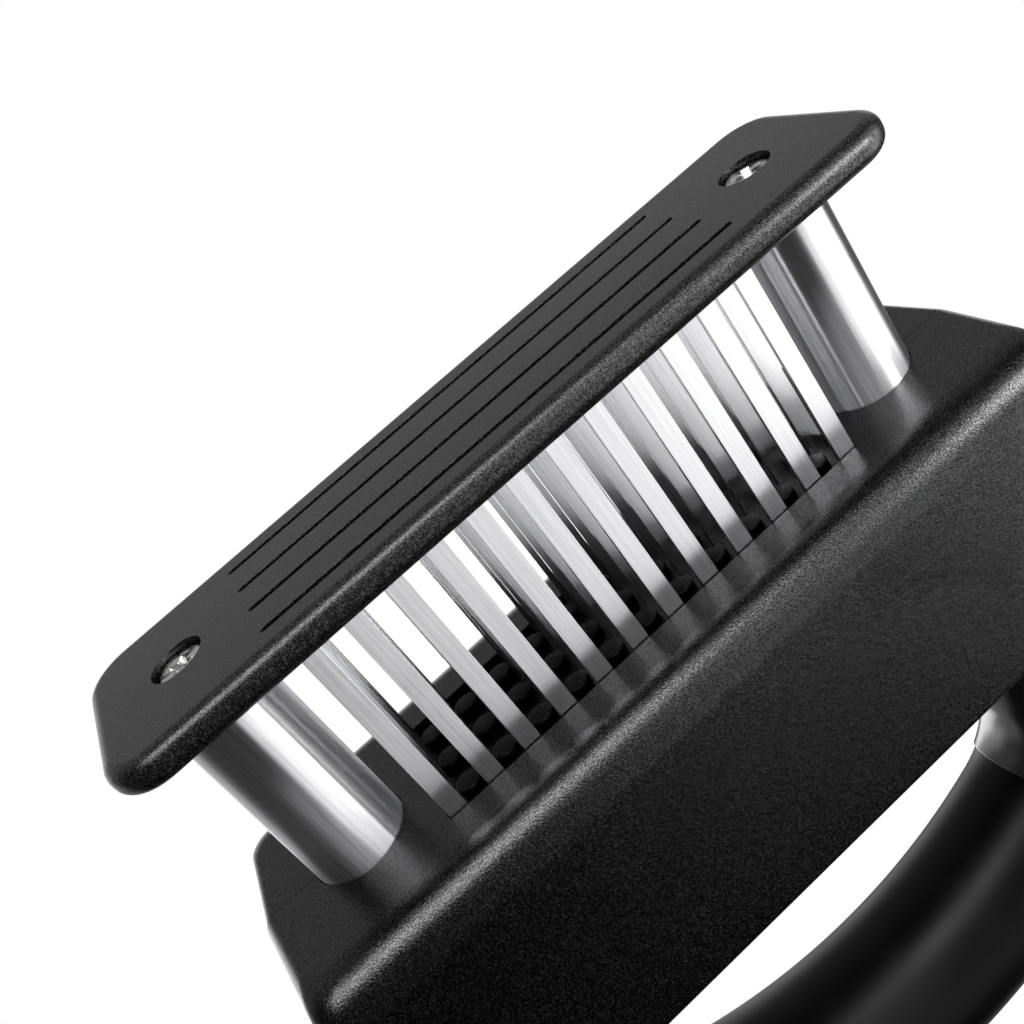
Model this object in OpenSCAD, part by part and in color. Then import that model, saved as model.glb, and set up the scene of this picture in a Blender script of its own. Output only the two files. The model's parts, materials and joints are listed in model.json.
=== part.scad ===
// Blade meat tenderizer. Rows of flat blades hang from a housing with an arched handle.
// A slotted foot plate on two columns covers the blade tips. Pressing the housing down slides
// the columns up into it against their springs, and the blades pass through the foot plate.
// Millimetres, +Z up, long side along X, seen from -Y. The origin is under the middle of the foot.

/* [Foot plate] */
// Reach of the foot plate past each column's axis
foot_end = 14.5; // [12:0.5:18]
// Width of the foot plate
foot_wid = 36.3; // [32:0.1:44]
// Thickness of the foot plate
foot_th = 5.1; // [4.6:0.1:7]
// Corner radius of the foot plate, seen from below
foot_corner_r = 7.5; // [4:0.5:12]
// Rounding of the foot plate's edge
foot_edge_r = 2.3; // [1:0.1:2.3]
// Depth of the round seat that holds each column's end
col_seat = 0.6; // [0.3:0.1:1]
// Radius of the recess round each foot screw
screw_recess_r = 4.2; // [4:0.1:6]
// Depth of the recess round each foot screw
screw_recess_depth = 2.6; // [1.8:0.1:2.9]

/* [Blades] */
// Blades in one row
blades_per_row = 12; // [8:2:12]
// Gap between the last blade of a row and the column beside it
blade_end_gap = 4.725; // [4:0.025:8]
// Width of a blade
blade_wid = 3.05; // [2.4:0.05:3.4]
// Thickness of a blade
blade_th = 0.85; // [0.6:0.05:1]
// Distance from row to row
row_pitch = 8; // [6.5:0.1:8.2]
// Height of the blade tips above the underside of the foot
tip_inset = 2; // [1:0.1:3]
// Length of a blade's ground point
tip_len = 3.2; // [2:0.1:5]
// Height of the shoulders that hang each blade in its comb
blade_head_h = 3; // [2:0.1:5]
// Width of the shoulders
blade_head_wid = 4.6; // [4:0.1:5.2]
// Clearance between a blade and the comb
comb_clear = 0.05; // [0.03:0.01:0.1]
// Clearance between a blade's side and its slot in the foot
slot_side_clear = 0.22; // [0.15:0.01:0.4]
// Clearance at the ends of a slot in the foot
slot_end_clear = 1.1; // [0.5:0.1:2]

/* [Columns and springs] */
// Distance of each column's axis from the housing's end
col_inset = 22.95; // [22:0.05:24]
// Diameter of a column
col_d = 16; // [14:0.1:16.4]
// Wall of a column
col_wall = 1.6; // [1.3:0.1:2]
// Open height between the foot plate and the housing
gap_h = 35; // [28:0.5:38]
// What is left of that height when the tool is pressed right down
pressed_gap = 3; // [2:0.1:6]
// Running clearance between column and bush
run_clear = 0.05; // [0.02:0.01:0.1]
// Wall of the guide bush
bush_wall = 1.8; // [1.4:0.1:2]
// Thickness of the retaining ring
ring_th = 1.2; // [0.8:0.1:1.5]
// Length of the threaded plug in a column's foot
plug_len = 12; // [8:0.5:18]
// Diameter of the spring wire
wire_d = 1.3; // [1:0.1:1.5]
// Curls of a spring
spring_curls = 13; // [8:1:18]

/* [Housing] */
// Length of the housing at its widest, on the parting plane
house_len = 151.4; // [148:0.2:160]
// Width of the housing
house_wid = 50; // [47:0.5:58]
// Height of the housing's front face
side_h = 45.2; // [43:0.2:52]
// Rise of the crowned top over the front edge
crown_rise = 4.7; // [3:0.1:7]
// How much further each end reaches at the top than at the bottom
end_flare = 3.1; // [1:0.1:5]
// Angle at which each end falls back from the parting plane
end_slant = 4.5; // [2:0.5:9]
// Radius of the upright corners
house_corner_r = 4.5; // [3.5:0.1:7]
// Radius of the long lower edges
house_edge_r = 7; // [4.5:0.1:9]
// Radius of the lower edges at the ends
end_edge_r = 3; // [1:0.1:4]
// Radius of the long upper edges
top_edge_r = 1.5; // [0.8:0.1:3]
// Wall of the housing
wall = 2.5; // [2:0.1:3]
// Gap between the two shells
seam = 0.1; // [0.04:0.02:0.3]
// Height of the round shoulders that carry the handle, above the crowned top
shoulder_h = 3; // [2:0.1:6]
// Depth of the pocket round the blades
pocket_depth = 1.5; // [0.8:0.1:2]
// Diameter of the round posts between the blades
post_d = 4.2; // [3:0.1:4.6]

/* [Handle] */
// Diameter of the grip
grip_d = 30.2; // [26:0.2:32]
// Height of the finger gap, from the crowned top to the grip
finger_gap = 43.2; // [36:0.2:50]
// Radius of the handle's arch, along its centre line
arch_r = 114.5; // [90:0.5:140]
// Radius of the bend into each leg
bend_r = 29; // [24:0.5:32]
// Distance of each leg's axis from the housing's end
leg_inset = 16.2; // [15:0.1:17]
// Angle from the top of the arch to each end of the grip
grip_angle = 37; // [30:0.5:50]
// Thickness of the soft grip on its core
grip_th = 3.7; // [2:0.1:5]
// How far each leg stands proud of the grip
leg_step = 0.5; // [0.2:0.1:1]
// Wall of the hollow handle frame
frame_wall = 3; // [2:0.1:3.6]
// Thickness of the tenon under each leg
tenon_th = 6.6; // [5.6:0.1:6.8]
// Length of the tenon
tenon_len = 21; // [17:0.5:24]

/* [Hidden] */

$fn = 64;
eps = 0.05;              // overlap of a cut past the face that it opens
fit = 0.05;              // clearance of a piece in its seat
arc_steps = 6;           // steps of a drawn fillet
hull_fn = 32;

// Colours
black_plastic = [0.09, 0.09, 0.10];
soft_black = [0.13, 0.13, 0.14];
grey_plastic = [0.45, 0.46, 0.47];
steel = [0.78, 0.79, 0.80];
bright_steel = [0.88, 0.89, 0.90];
acetal = [0.90, 0.89, 0.84];

// Places along X, all from the housing's length
half_len = house_len / 2;
col_x = half_len - col_inset;
leg_x = half_len - leg_inset;
foot_len = 2 * (col_x + foot_end);
row_len = 2 * (col_x - col_d / 2 - blade_end_gap);
blade_pitch = (row_len - blade_wid) / (blades_per_row - 1);

// Heights
travel = gap_h - pressed_gap;
under_z = foot_th + gap_h;
edge_z = under_z + side_h;
crown_z = edge_z + crown_rise;
shoulder_z = crown_z + shoulder_h;
floor_z = under_z + wall;
ceiling_z = shoulder_z - wall;

// Columns
col_r = col_d / 2;
col_bore_r = col_r - col_wall;
col_z = foot_th - col_seat;
seat_th = 2;
top_clear = 0.3;
col_top = ceiling_z - seat_th - travel - top_clear;
col_lip = 1.4;
groove_depth = 0.7;
ring_z = col_top - col_lip - ring_th;
ring_rim = 1.4;
ring_r = col_r + ring_rim;
ring_gap = 4;
bush_r = col_r + run_clear + bush_wall;
bush_top = ring_z - 2 * fit;
bush_flange = 0.8;
bush_flange_h = 1.6;
tower_bore = bush_r + fit;
tower_wall = 1.9;
tower_r = tower_bore + tower_wall;
tower_clear = 0.2;
hole_clear = 0.25;
plug_top = col_z + plug_len;

// Springs
spring_clear = 0.4;
spring_r = col_bore_r - spring_clear - wire_d / 2;
spring_z0 = plug_top + top_clear + wire_d / 2;
spring_z1 = ceiling_z - seat_th - top_clear - wire_d / 2;
spigot_r = spring_r - wire_d / 2 - spring_clear;
spigot_h = 6;
curl_rings = 8;
wire_sides = 6;
end_gap = 0.5;
end_pitch = wire_d + end_gap;

// Foot screws
foot_screw_r = 2;
foot_head_r = 3.7;
foot_head_h = 1.7;
foot_head_edge = 0.5;
foot_cross = 4.4;
foot_cross_depth = 1.3;
foot_cross_turn = 25;
hole_gap = 0.2;
foot_screw_hole_r = foot_screw_r + hole_gap;

// Blade block
rows = 4;
row_half = row_len / 2;
rows_half = (rows - 1) / 2 * row_pitch + blade_th / 2;
pocket_rim = 0.25;
pocket_x = row_half + pocket_rim;
pocket_y = rows_half + pocket_rim;
comb_z = under_z + pocket_depth;
comb_flange_h = 3;
comb_flange_z = floor_z + fit;
comb_h = 20;
comb_top = under_z + comb_h;
block_rim = 2.2;
block_x = row_half + block_rim;
block_y = rows_half + block_rim;
pillar_r = 3;
pillar_out = 2.2;
pillar_in = 1.5;
pillar_x = block_x + pillar_out;
pillar_y = block_y - pillar_in;
flange_y = pillar_y + pillar_r;
flange_x = pillar_x + pillar_r;
clamp_z = comb_top + blade_head_h + fit;
clamp_th = 2;
clamp_screw_r = 1.2;
clamp_head_r = 2.4;
clamp_head_h = 1.6;
clamp_screw_len = 12;
clamp_cross = 2.8;
clamp_cross_depth = 0.9;

// Housing
half_wid = house_wid / 2;
rib_sink = 1;            // depth that ribs and towers are sunk into the wall
boss_r = 3.4;
rib_th = 2;
shell_screw_r = 1.45;
shell_head_r = 2.7;
shell_head_h = 2;
shell_screw_seat = 12;
shell_screw_reach = 15;
shell_screw_tip = 1;
shell_screw_len = shell_screw_seat + shell_screw_reach + shell_screw_tip;
shell_cross = 3.2;
shell_cross_depth = 1.1;
counterbore_r = shell_head_r + hole_gap;
pedestal_rim = 0.5;
pedestal_r = grip_d / 2 + leg_step + pedestal_rim;
pedestal_flare = 5;
pedestal_side_h = 2;
pedestal_sink = 8;
rib_gap = 0.3;
rib_places = [0.26 * block_x, 0.8 * block_x];

// Handle
grip_r = grip_d / 2;
leg_r = grip_r + leg_step;
core_r = grip_r - grip_th;
apex_z = crown_z + finger_gap + grip_r;
arch_z = apex_z - arch_r;
bend_x = leg_x - bend_r;
bend_angle = asin(bend_x / (arch_r - bend_r));
bend_z = arch_z + (arch_r - bend_r) * cos(bend_angle);
leg_z = shoulder_z + fit;
leg_floor = 3;
leg_drain_r = 4;
handle_sides = 32;
bore_sides = 16;
arch_rings = 6;          // rings of the handle from the top to the bend
core_bend_rings = 3;     // from there to the end of the grip
leg_rings = 9;           // and on to the straight leg
step_angle = frame_wall / bend_r * 180 / PI;
tenon_wall = 1.2;
tenon_gap = 0.4;
tenon_x0 = col_x + tower_bore + tenon_wall + tenon_gap;
tenon_y = 9;
tenon_z = leg_z - tenon_len;
tenon_rest = 0.5;

// Places of the shell screws in the XZ plane, on the right-hand side
top_boss_drop = 8.5;
low_boss_h = 7;
low_boss_out = 1.3;
screw_places = [[(rib_places[0] + rib_places[1]) / 2, edge_z - top_boss_drop],
                [tenon_x0 + tenon_th / 2, leg_z - tenon_len * 2 / 3],
                [col_x + tower_r + low_boss_out, floor_z + low_boss_h]];

// Points of an arc about [cx, cy] from angle a0 to a1
function arc(cx, cy, r, a0, a1, steps = arc_steps) =
    [for (i = [0:steps]) let (a = a0 + (a1 - a0) * i / steps) [cx + r * cos(a), cy + r * sin(a)]];

// The children at +X and their mirror image at -X
module both_ends() {
    children();
    mirror([1, 0, 0]) children();
}

// A solid skinned over a list of rings, each with as many points, with flat ends
module ring_tube(rings) {
    sides = len(rings[0]);
    last = (len(rings) - 1) * sides;
    skin = [for (i = [0:len(rings) - 2], k = [0:sides - 1])
        let (a = i * sides + k, b = i * sides + (k + 1) % sides)
        each [[a, b, b + sides], [a, b + sides, a + sides]]];
    ends = [for (k = [1:sides - 2]) each [[0, k + 1, k], [last, last + k, last + k + 1]]];
    polyhedron(points = [for (ring = rings) each ring], faces = concat(skin, ends));
}

// A cross recess in a screw head, cut down from z = 0
module cross_recess(size, depth) {
    for (turn = [0, 90])
        rotate([0, 0, turn])
            translate([-size / 2, -size / 8, -depth])
                cube([size, size / 4, depth + eps]);
    translate([0, 0, -depth])
        cylinder(h = depth + eps, r1 = size / 8, r2 = size / 3.4);
}

// ---------- Foot ----------

// Outline of the foot's edge for a corner of radius r
module edge_profile(r) {
    er = min(foot_edge_r, foot_th / 2 - 0.1);
    polygon(concat([[0, 0]],
                   arc(r - er, er, er, -90, 0),
                   arc(r - er, foot_th - er, er, 0, 90),
                   [[0, foot_th]]));
}

module foot_plate() {
    slot_half = row_half + slot_end_clear;
    slot_w = blade_th + 2 * slot_side_clear;
    color(black_plastic)
        difference() {
            hull()
                for (sx = [-1, 1], sy = [-1, 1])
                    translate([sx * (foot_len / 2 - foot_corner_r), sy * (foot_wid / 2 - foot_corner_r), 0])
                        rotate_extrude($fn = hull_fn) edge_profile(foot_corner_r);
            for (row = [0:rows - 1])
                translate([0, row_y(row), -eps])
                    slot(slot_half, slot_w, foot_th + 2 * eps);
            both_ends()
                translate([col_x, 0, 0]) {
                    translate([0, 0, -eps])
                        cylinder(h = screw_recess_depth + eps, r = screw_recess_r);
                    cylinder(h = foot_th, r = foot_screw_hole_r);
                    translate([0, 0, col_z])
                        cylinder(h = col_seat + eps, r = col_r + fit);
                }
        }
}

// A slot along X with round ends
module slot(half, w, h) {
    translate([-half + w / 2, -w / 2, 0]) cube([2 * half - w, w, h]);
    both_ends()
        translate([half - w / 2, 0, 0]) cylinder(h = h, d = w, $fn = 24);
}

module foot_screws() {
    head_z = screw_recess_depth - foot_head_h;
    rim_z = head_z + foot_head_edge;
    color(bright_steel)
        both_ends()
            translate([col_x, 0, 0])
                difference() {
                    union() {
                        translate([0, 0, rim_z]) cylinder(h = plug_top - rim_z - foot_screw_r, r = foot_screw_r);
                        translate([0, 0, rim_z])
                            cylinder(h = foot_head_h - foot_head_edge - fit, r = foot_head_r);
                        translate([0, 0, head_z])
                            cylinder(h = foot_head_edge, r1 = foot_head_r - foot_head_edge, r2 = foot_head_r);
                    }
                    translate([0, 0, head_z])
                        rotate([180, 0, foot_cross_turn]) cross_recess(foot_cross, foot_cross_depth);
                }
}

// ---------- Columns and springs ----------

module column() {
    translate([0, 0, col_z])
        difference() {
            cylinder(h = col_top - col_z, r = col_r);
            translate([0, 0, -eps]) cylinder(h = col_top - col_z + 2 * eps, r = col_bore_r);
            translate([0, 0, ring_z - col_z - fit])
                difference() {
                    cylinder(h = ring_th + 2 * fit, r = col_r + 1);
                    translate([0, 0, -eps]) cylinder(h = ring_th + 1, r = col_r - groove_depth);
                }
        }
}

module column_left() { color(steel) translate([-col_x, 0, 0]) column(); }
module column_right() { color(steel) translate([col_x, 0, 0]) column(); }

module column_plugs() {
    color(steel)
        both_ends()
            translate([col_x, 0, col_z])
                difference() {
                    cylinder(h = plug_len, r = col_bore_r - fit / 2);
                    translate([0, 0, -eps]) cylinder(h = plug_len + 2 * eps, r = foot_screw_r + fit);
                }
}

module retaining_rings() {
    color(steel)
        both_ends()
            translate([col_x, 0, ring_z])
                difference() {
                    cylinder(h = ring_th, r = ring_r);
                    translate([0, 0, -eps]) cylinder(h = ring_th + 2 * eps, r = col_r - groove_depth + fit);
                    translate([0, -ring_gap / 2, -eps])
                        cube([ring_r + eps, ring_gap, ring_th + 2 * eps]);
                }
}

// Height of the wire's centre at turn t: close end turns and an even pitch between them
function spring_height(t) =
    let (body_pitch = (spring_z1 - spring_z0 - 2 * end_pitch) / (spring_curls - 2))
    t <= 1 ? spring_z0 + end_pitch * t
    : t >= spring_curls - 1 ? spring_z1 - end_pitch * (spring_curls - t)
    : spring_z0 + end_pitch + body_pitch * (t - 1);

function spring_point(t) = [spring_r * cos(360 * t), spring_r * sin(360 * t), spring_height(t)];

// Rings of the wire, each in the plane through the spring's axis
spring_rings = [for (i = [0:spring_curls * curl_rings])
    let (t = i / curl_rings)
    [for (k = [0:wire_sides - 1])
        let (a = 360 * k / wire_sides, r = spring_r + wire_d / 2 * cos(a))
        [r * cos(360 * t), r * sin(360 * t), spring_height(t) + wire_d / 2 * sin(a)]]];

// Least gap between neighbouring curls, measured from wire surface to wire surface
spring_gap = min([for (i = [0:(spring_curls - 1) * curl_rings])
    norm(spring_point((i + curl_rings) / curl_rings) - spring_point(i / curl_rings)) - wire_d]);
echo(str("least gap between spring curls: ", spring_gap, " mm"));

module spring_left() { color(steel) translate([-col_x, 0, 0]) ring_tube(spring_rings); }
module spring_right() { color(steel) translate([col_x, 0, 0]) ring_tube(spring_rings); }

module spring_seats() {
    color(acetal)
        both_ends()
            translate([col_x, 0, ceiling_z - seat_th]) {
                cylinder(h = seat_th - fit, r = tower_bore - tower_clear);
                translate([0, 0, -spigot_h]) cylinder(h = spigot_h + eps, r = spigot_r);
            }
}

module guide_bush() {
    bush_z = floor_z + fit;
    color(acetal)
        difference() {
            union() {
                translate([0, 0, bush_z]) cylinder(h = bush_top - bush_z, r = bush_r);
                translate([0, 0, bush_z]) cylinder(h = bush_flange_h, r = bush_r + bush_flange);
            }
            translate([0, 0, bush_z - eps]) cylinder(h = bush_top - bush_z + 2 * eps, r = col_r + run_clear);
        }
}

module guide_bush_left() { translate([-col_x, 0, 0]) guide_bush(); }
module guide_bush_right() { translate([col_x, 0, 0]) guide_bush(); }

// ---------- Blade block ----------

function row_y(row) = (row - (rows - 1) / 2) * row_pitch;
function blade_x(i) = (i - (blades_per_row - 1) / 2) * blade_pitch;

// One blade at x = 0, y = 0: shoulders above, a ground V point below
module blade() {
    hw = blade_wid / 2;
    hh = blade_head_wid / 2;
    top = comb_top + blade_head_h;
    flat_tip = 0.15;
    intersection() {
        translate([0, blade_th / 2, 0])
            rotate([90, 0, 0])
                linear_extrude(blade_th)
                    polygon([[-flat_tip, tip_inset], [flat_tip, tip_inset],
                             [hw, tip_inset + tip_len], [hw, comb_top], [hh, comb_top], [hh, top],
                             [-hh, top], [-hh, comb_top], [-hw, comb_top], [-hw, tip_inset + tip_len]]);
        translate([-hh - 1, 0, 0])
            rotate([90, 0, 90])
                linear_extrude(2 * hh + 2)
                    polygon([[-flat_tip, tip_inset - 1], [flat_tip, tip_inset - 1],
                             [blade_th / 2 + eps, tip_inset + tip_len * 0.8], [blade_th / 2 + eps, top + 1],
                             [-blade_th / 2 - eps, top + 1], [-blade_th / 2 - eps, tip_inset + tip_len * 0.8]]);
    }
}

module blade_row(row) {
    color(bright_steel)
        for (i = [0:blades_per_row - 1])
            translate([blade_x(i), row_y(row), 0]) blade();
}

module blade_row_1() { blade_row(0); }
module blade_row_2() { blade_row(1); }
module blade_row_3() { blade_row(2); }
module blade_row_4() { blade_row(3); }

// Round notches that clear the column towers
module tower_notches(h) {
    both_ends()
        translate([col_x, 0, -eps]) cylinder(h = h + 2 * eps, r = tower_r + tower_clear);
}

// The children at each of the four pillars that carry the clamp plate
module at_pillars(z) {
    for (sx = [-1, 1], sy = [-1, 1])
        translate([sx * pillar_x, sy * pillar_y, z]) children();
}

module blade_comb() {
    hw = blade_wid / 2 + comb_clear;
    ht = blade_th / 2 + comb_clear;
    pad_x = pocket_x - fit;
    color(black_plastic) {
        difference() {
            union() {
                translate([-pad_x, -pocket_y + fit, comb_z])
                    cube([2 * pad_x, 2 * (pocket_y - fit), comb_top - comb_z]);
                translate([-block_x, -block_y, comb_flange_z])
                    cube([2 * block_x, 2 * block_y, comb_top - comb_flange_z]);
                translate([-flange_x, -flange_y, comb_flange_z])
                    cube([2 * flange_x, 2 * flange_y, comb_flange_h]);
                at_pillars(comb_flange_z)
                    cylinder(h = clamp_z - fit - comb_flange_z, r = pillar_r);
                posts();
            }
            translate([0, 0, comb_z]) tower_notches(comb_top - comb_z);
            for (i = [0:blades_per_row - 1], row = [0:rows - 1])
                translate([blade_x(i) - hw, row_y(row) - ht, comb_z - eps])
                    cube([2 * hw, 2 * ht, comb_top - comb_z + 2 * eps]);
            // the outermost slots run out through the ends of the pad
            both_ends()
                for (row = [0:rows - 1])
                    translate([row_half - blade_wid / 2, row_y(row) - ht, comb_z - eps])
                        cube([pad_x - row_half + blade_wid / 2 + eps, 2 * ht, comb_flange_z - comb_z]);
            at_pillars(clamp_z - clamp_screw_len)
                cylinder(h = clamp_screw_len + eps, r = clamp_screw_r + fit, $fn = 24);
        }
    }
}

// Posts between neighbouring blades, flush with the underside of the housing
module posts() {
    for (i = [0:blades_per_row - 2], row = [0:rows - 2])
        translate([blade_x(i) + blade_pitch / 2, row_y(row) + row_pitch / 2, under_z])
            cylinder(h = pocket_depth + eps, d = post_d, $fn = 32);
}

module clamp_plate() {
    color(steel)
        translate([0, 0, clamp_z])
            difference() {
                linear_extrude(clamp_th) {
                    square([2 * block_x, 2 * block_y], center = true);
                    at_pillars(0) circle(r = pillar_r + hole_gap);
                }
                tower_notches(clamp_th);
                at_pillars(-eps)
                    cylinder(h = clamp_th + 2 * eps, r = clamp_screw_r + hole_gap, $fn = 24);
            }
}

module clamp_screws() {
    head_z = clamp_z + clamp_th + fit;
    shank_z = clamp_z - clamp_screw_len + clamp_screw_r;
    color(bright_steel)
        at_pillars(0)
            difference() {
                union() {
                    translate([0, 0, head_z]) cylinder(h = clamp_head_h, r = clamp_head_r, $fn = 32);
                    translate([0, 0, shank_z])
                        cylinder(h = head_z + clamp_head_h / 2 - shank_z, r = clamp_screw_r, $fn = 24);
                }
                translate([0, 0, head_z + clamp_head_h]) cross_recess(clamp_cross, clamp_cross_depth);
            }
}

// ---------- Housing ----------

// Outline of the housing from above, drawn in by inset; the ends fall back from the middle
function plan_corner(l, w, r) =
    let (cy = w - r, cx = (l * cos(end_slant) - r - cy * sin(end_slant)) / cos(end_slant))
    arc(cx, cy, r, end_slant, 90);

function plan(l, w, r) =
    let (c = plan_corner(l, w, r),
         q1 = c,
         q2 = [for (i = [len(c) - 1:-1:0]) [-c[i][0], c[i][1]]],
         q3 = [for (p = c) [-p[0], -p[1]]],
         q4 = [for (i = [len(c) - 1:-1:0]) [c[i][0], -c[i][1]]])
    concat([[l, 0]], q1, q2, [[-l, 0]], q3, q4);

// Half length on the parting plane at height z, before any rounding
function end_reach(z) = half_len - end_flare * (edge_z - z) / side_h;

// Levels of the ends: [height, inset] round the lower edge, then straight up
function end_levels(r) =
    concat([for (a = [0:90 / 4:90]) [under_z + r * (1 - cos(a)), r * (1 - sin(a))]],
           [[shoulder_z, 0]]);

module ends_form(inset) {
    thin = 0.01;
    hull()
        for (level = end_levels(end_edge_r))
            translate([0, 0, level[0]])
                linear_extrude(thin)
                    polygon(plan(min(end_reach(level[0]), half_len) - level[1] - inset,
                                 half_wid + 1 - inset,
                                 max(house_corner_r + 1 - inset, 0.8)));
}

// Section of the housing across X: rounded lower edges, upright sides and a crowned top
module section(inset) {
    w = half_wid - inset;
    r = house_edge_r - inset;
    tr = max(top_edge_r - inset, 0.2);
    top = edge_z - inset;
    c = w - tr;
    rise = crown_rise;
    crown_r = (c * c + rise * rise) / (2 * rise);
    crown_a = asin(c / crown_r);
    polygon(concat(
        arc(w - r, under_z + inset + r, r, -90, 0),
        arc(w - tr, top - tr, tr, 0, 90 - crown_a / 2, 3),
        arc(0, top + rise - crown_r, crown_r, 90 - crown_a, 90 + crown_a, 14),
        arc(-w + tr, top - tr, tr, 90 + crown_a / 2, 180, 3),
        arc(-w + r, under_z + inset + r, r, 180, 270)));
}

module housing_form(inset) {
    intersection() {
        translate([-half_len - 5, 0, 0])
            rotate([90, 0, 90])
                linear_extrude(house_len + 10) section(inset);
        ends_form(inset);
    }
}

// Round shoulder under one leg, flaring into the crowned top
module pedestal() {
    low_z = edge_z - pedestal_sink;
    flare_z = shoulder_z - pedestal_side_h - pedestal_flare;
    outer = pedestal_r + pedestal_flare;
    rotate_extrude()
        polygon(concat([[0, low_z], [outer, low_z]],
                       arc(outer, flare_z + pedestal_flare, pedestal_flare, 270, 180),
                       [[pedestal_r, shoulder_z], [0, shoulder_z]]));
}

// Both halves of the housing in one, before they are parted
module housing_body() {
    difference() {
        union() {
            difference() {
                housing_form(0);
                housing_form(wall);
            }
            intersection() {
                both_ends() {
                    translate([leg_x, 0, 0]) pedestal();
                    translate([col_x, 0, floor_z - rib_sink])
                        cylinder(h = ceiling_z - floor_z + 2 * rib_sink, r = tower_r);
                }
                ends_form(0);
            }
            intersection() {
                housing_form(rib_sink);
                housing_ribs();
            }
        }
        housing_cuts();
    }
}

// Walls and bosses inside the housing
module housing_ribs() {
    rib_y = block_y + rib_gap;
    rib_z = comb_flange_z + comb_flange_h + rib_gap;
    both_ends() {
        for (x = rib_places, sy = [-1, 1])
            translate([x - rib_th / 2, sy < 0 ? -half_wid : rib_y, rib_z])
                cube([rib_th, half_wid - rib_y, side_h]);
        translate([tenon_x0 - tenon_wall, -tenon_y - rib_th, tenon_z - rib_th])
            cube([tenon_th + tenon_wall + rib_th, 2 * (tenon_y + rib_th), shoulder_z - tenon_z]);
        for (p = screw_places)
            translate([p[0], half_wid, p[1]])
                rotate([90, 0, 0]) cylinder(h = house_wid, r = boss_r);
    }
}

// Everything that is opened in the housing: pocket, column holes, towers, tenons and screws
module housing_cuts() {
    translate([-pocket_x, -pocket_y, under_z - eps])
        cube([2 * pocket_x, 2 * pocket_y, wall + 2 * eps]);
    both_ends() {
        translate([col_x, 0, 0]) {
            translate([0, 0, under_z - eps]) cylinder(h = wall + 2 * eps, r = col_r + hole_clear);
            translate([0, 0, floor_z]) cylinder(h = ceiling_z - floor_z, r = tower_bore);
            translate([0, 0, floor_z]) cylinder(h = bush_flange_h + 2 * fit, r = bush_r + bush_flange + fit);
        }
        translate([tenon_x0 - fit, -tenon_y - fit, tenon_z - tenon_rest])
            cube([tenon_th + 2 * fit, 2 * (tenon_y + fit), tenon_len + 2 * tenon_rest]);
        for (p = screw_places)
            translate([p[0], 0, p[1]]) {
                translate([0, shell_screw_seat, 0])
                    rotate([-90, 0, 0]) cylinder(h = half_wid, r = counterbore_r);
                translate([0, shell_screw_seat + eps, 0])
                    rotate([90, 0, 0]) cylinder(h = shell_screw_len + eps, r = shell_screw_r + fit);
            }
    }
}

module half_space(sy) {
    big = 400;
    translate([-big / 2, sy < 0 ? -big - seam / 2 : seam / 2, -big / 2]) cube(big);
}

module front_shell() {
    color(black_plastic) intersection() { housing_body(); half_space(-1); }
}

module rear_shell() {
    color(black_plastic) intersection() { housing_body(); half_space(1); }
}

module shell_screws() {
    shank = shell_screw_len - shell_screw_tip;
    color(bright_steel)
        both_ends()
            for (p = screw_places)
                translate([p[0], shell_screw_seat + fit, p[1]])
                    rotate([-90, 0, 0])
                        difference() {
                            union() {
                                cylinder(h = shell_head_h, r = shell_head_r, $fn = 32);
                                translate([0, 0, -shank])
                                    cylinder(h = shank + shell_head_h / 2, r = shell_screw_r, $fn = 24);
                            }
                            translate([0, 0, shell_head_h]) cross_recess(shell_cross, shell_cross_depth);
                        }
}

// ---------- Handle ----------

// The handle's centre line, by its angle off the top of the arch and the drop below the bend
function line_x(a) = a <= bend_angle ? arch_r * sin(a) : bend_x + bend_r * sin(a);
function line_z(a, drop) = (a <= bend_angle ? arch_z + arch_r * cos(a) : bend_z + bend_r * cos(a)) - drop;

// One ring of radius r square to the centre line, on the side of +X or -X
function line_ring(side, a, drop, r, sides) =
    [for (k = [0:sides - 1])
        let (t = 360 * k / sides)
        [side * (line_x(a) + r * cos(t) * sin(a)), r * sin(t), line_z(a, drop) + r * cos(t) * cos(a)]];

// The n even steps from a to b, without a
function steps(a, b, n) = [for (i = [1:n]) a + (b - a) * i / n];

// Stations [angle, drop, radius] from the top of the arch to the end of one side
function core_stations(r, end) =
    [for (a = concat(steps(0, bend_angle, arch_rings), steps(bend_angle, end, core_bend_rings))) [a, 0, r]];

function leg_stations(r, start, drop) =
    concat([for (a = concat([start], steps(start, 90, leg_rings))) [a, 0, r]], [[90, drop, r]]);

// A bar along the centre line that has the given stations on both sides
module bent_bar(stations, sides) {
    ring_tube(concat(
        [for (i = [len(stations) - 1:-1:0]) let (s = stations[i]) line_ring(-1, s[0], s[1], s[2], sides)],
        [line_ring(1, 0, 0, stations[0][2], sides)],
        [for (s = stations) line_ring(1, s[0], s[1], s[2], sides)]));
}

module handle_frame() {
    leg_drop = bend_z - leg_z;
    color(grey_plastic)
        difference() {
            union() {
                bent_bar(concat(core_stations(core_r, grip_angle),
                                leg_stations(leg_r, grip_angle, leg_drop)), handle_sides);
                both_ends()
                    translate([tenon_x0, -tenon_y, tenon_z]) cube([tenon_th, 2 * tenon_y, tenon_len + rib_sink]);
            }
            bent_bar(concat(core_stations(core_r - frame_wall, grip_angle + step_angle),
                            leg_stations(leg_r - frame_wall, grip_angle + step_angle, leg_drop - leg_floor)),
                     bore_sides);
            both_ends() {
                translate([leg_x, 0, leg_z - eps]) cylinder(h = leg_floor + 2 * eps, r = leg_drain_r);
                translate([screw_places[1][0], tenon_y + eps, screw_places[1][1]])
                    rotate([90, 0, 0]) cylinder(h = 2 * tenon_y + 2 * eps, r = shell_screw_r + hole_gap, $fn = 32);
            }
        }
}

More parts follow.
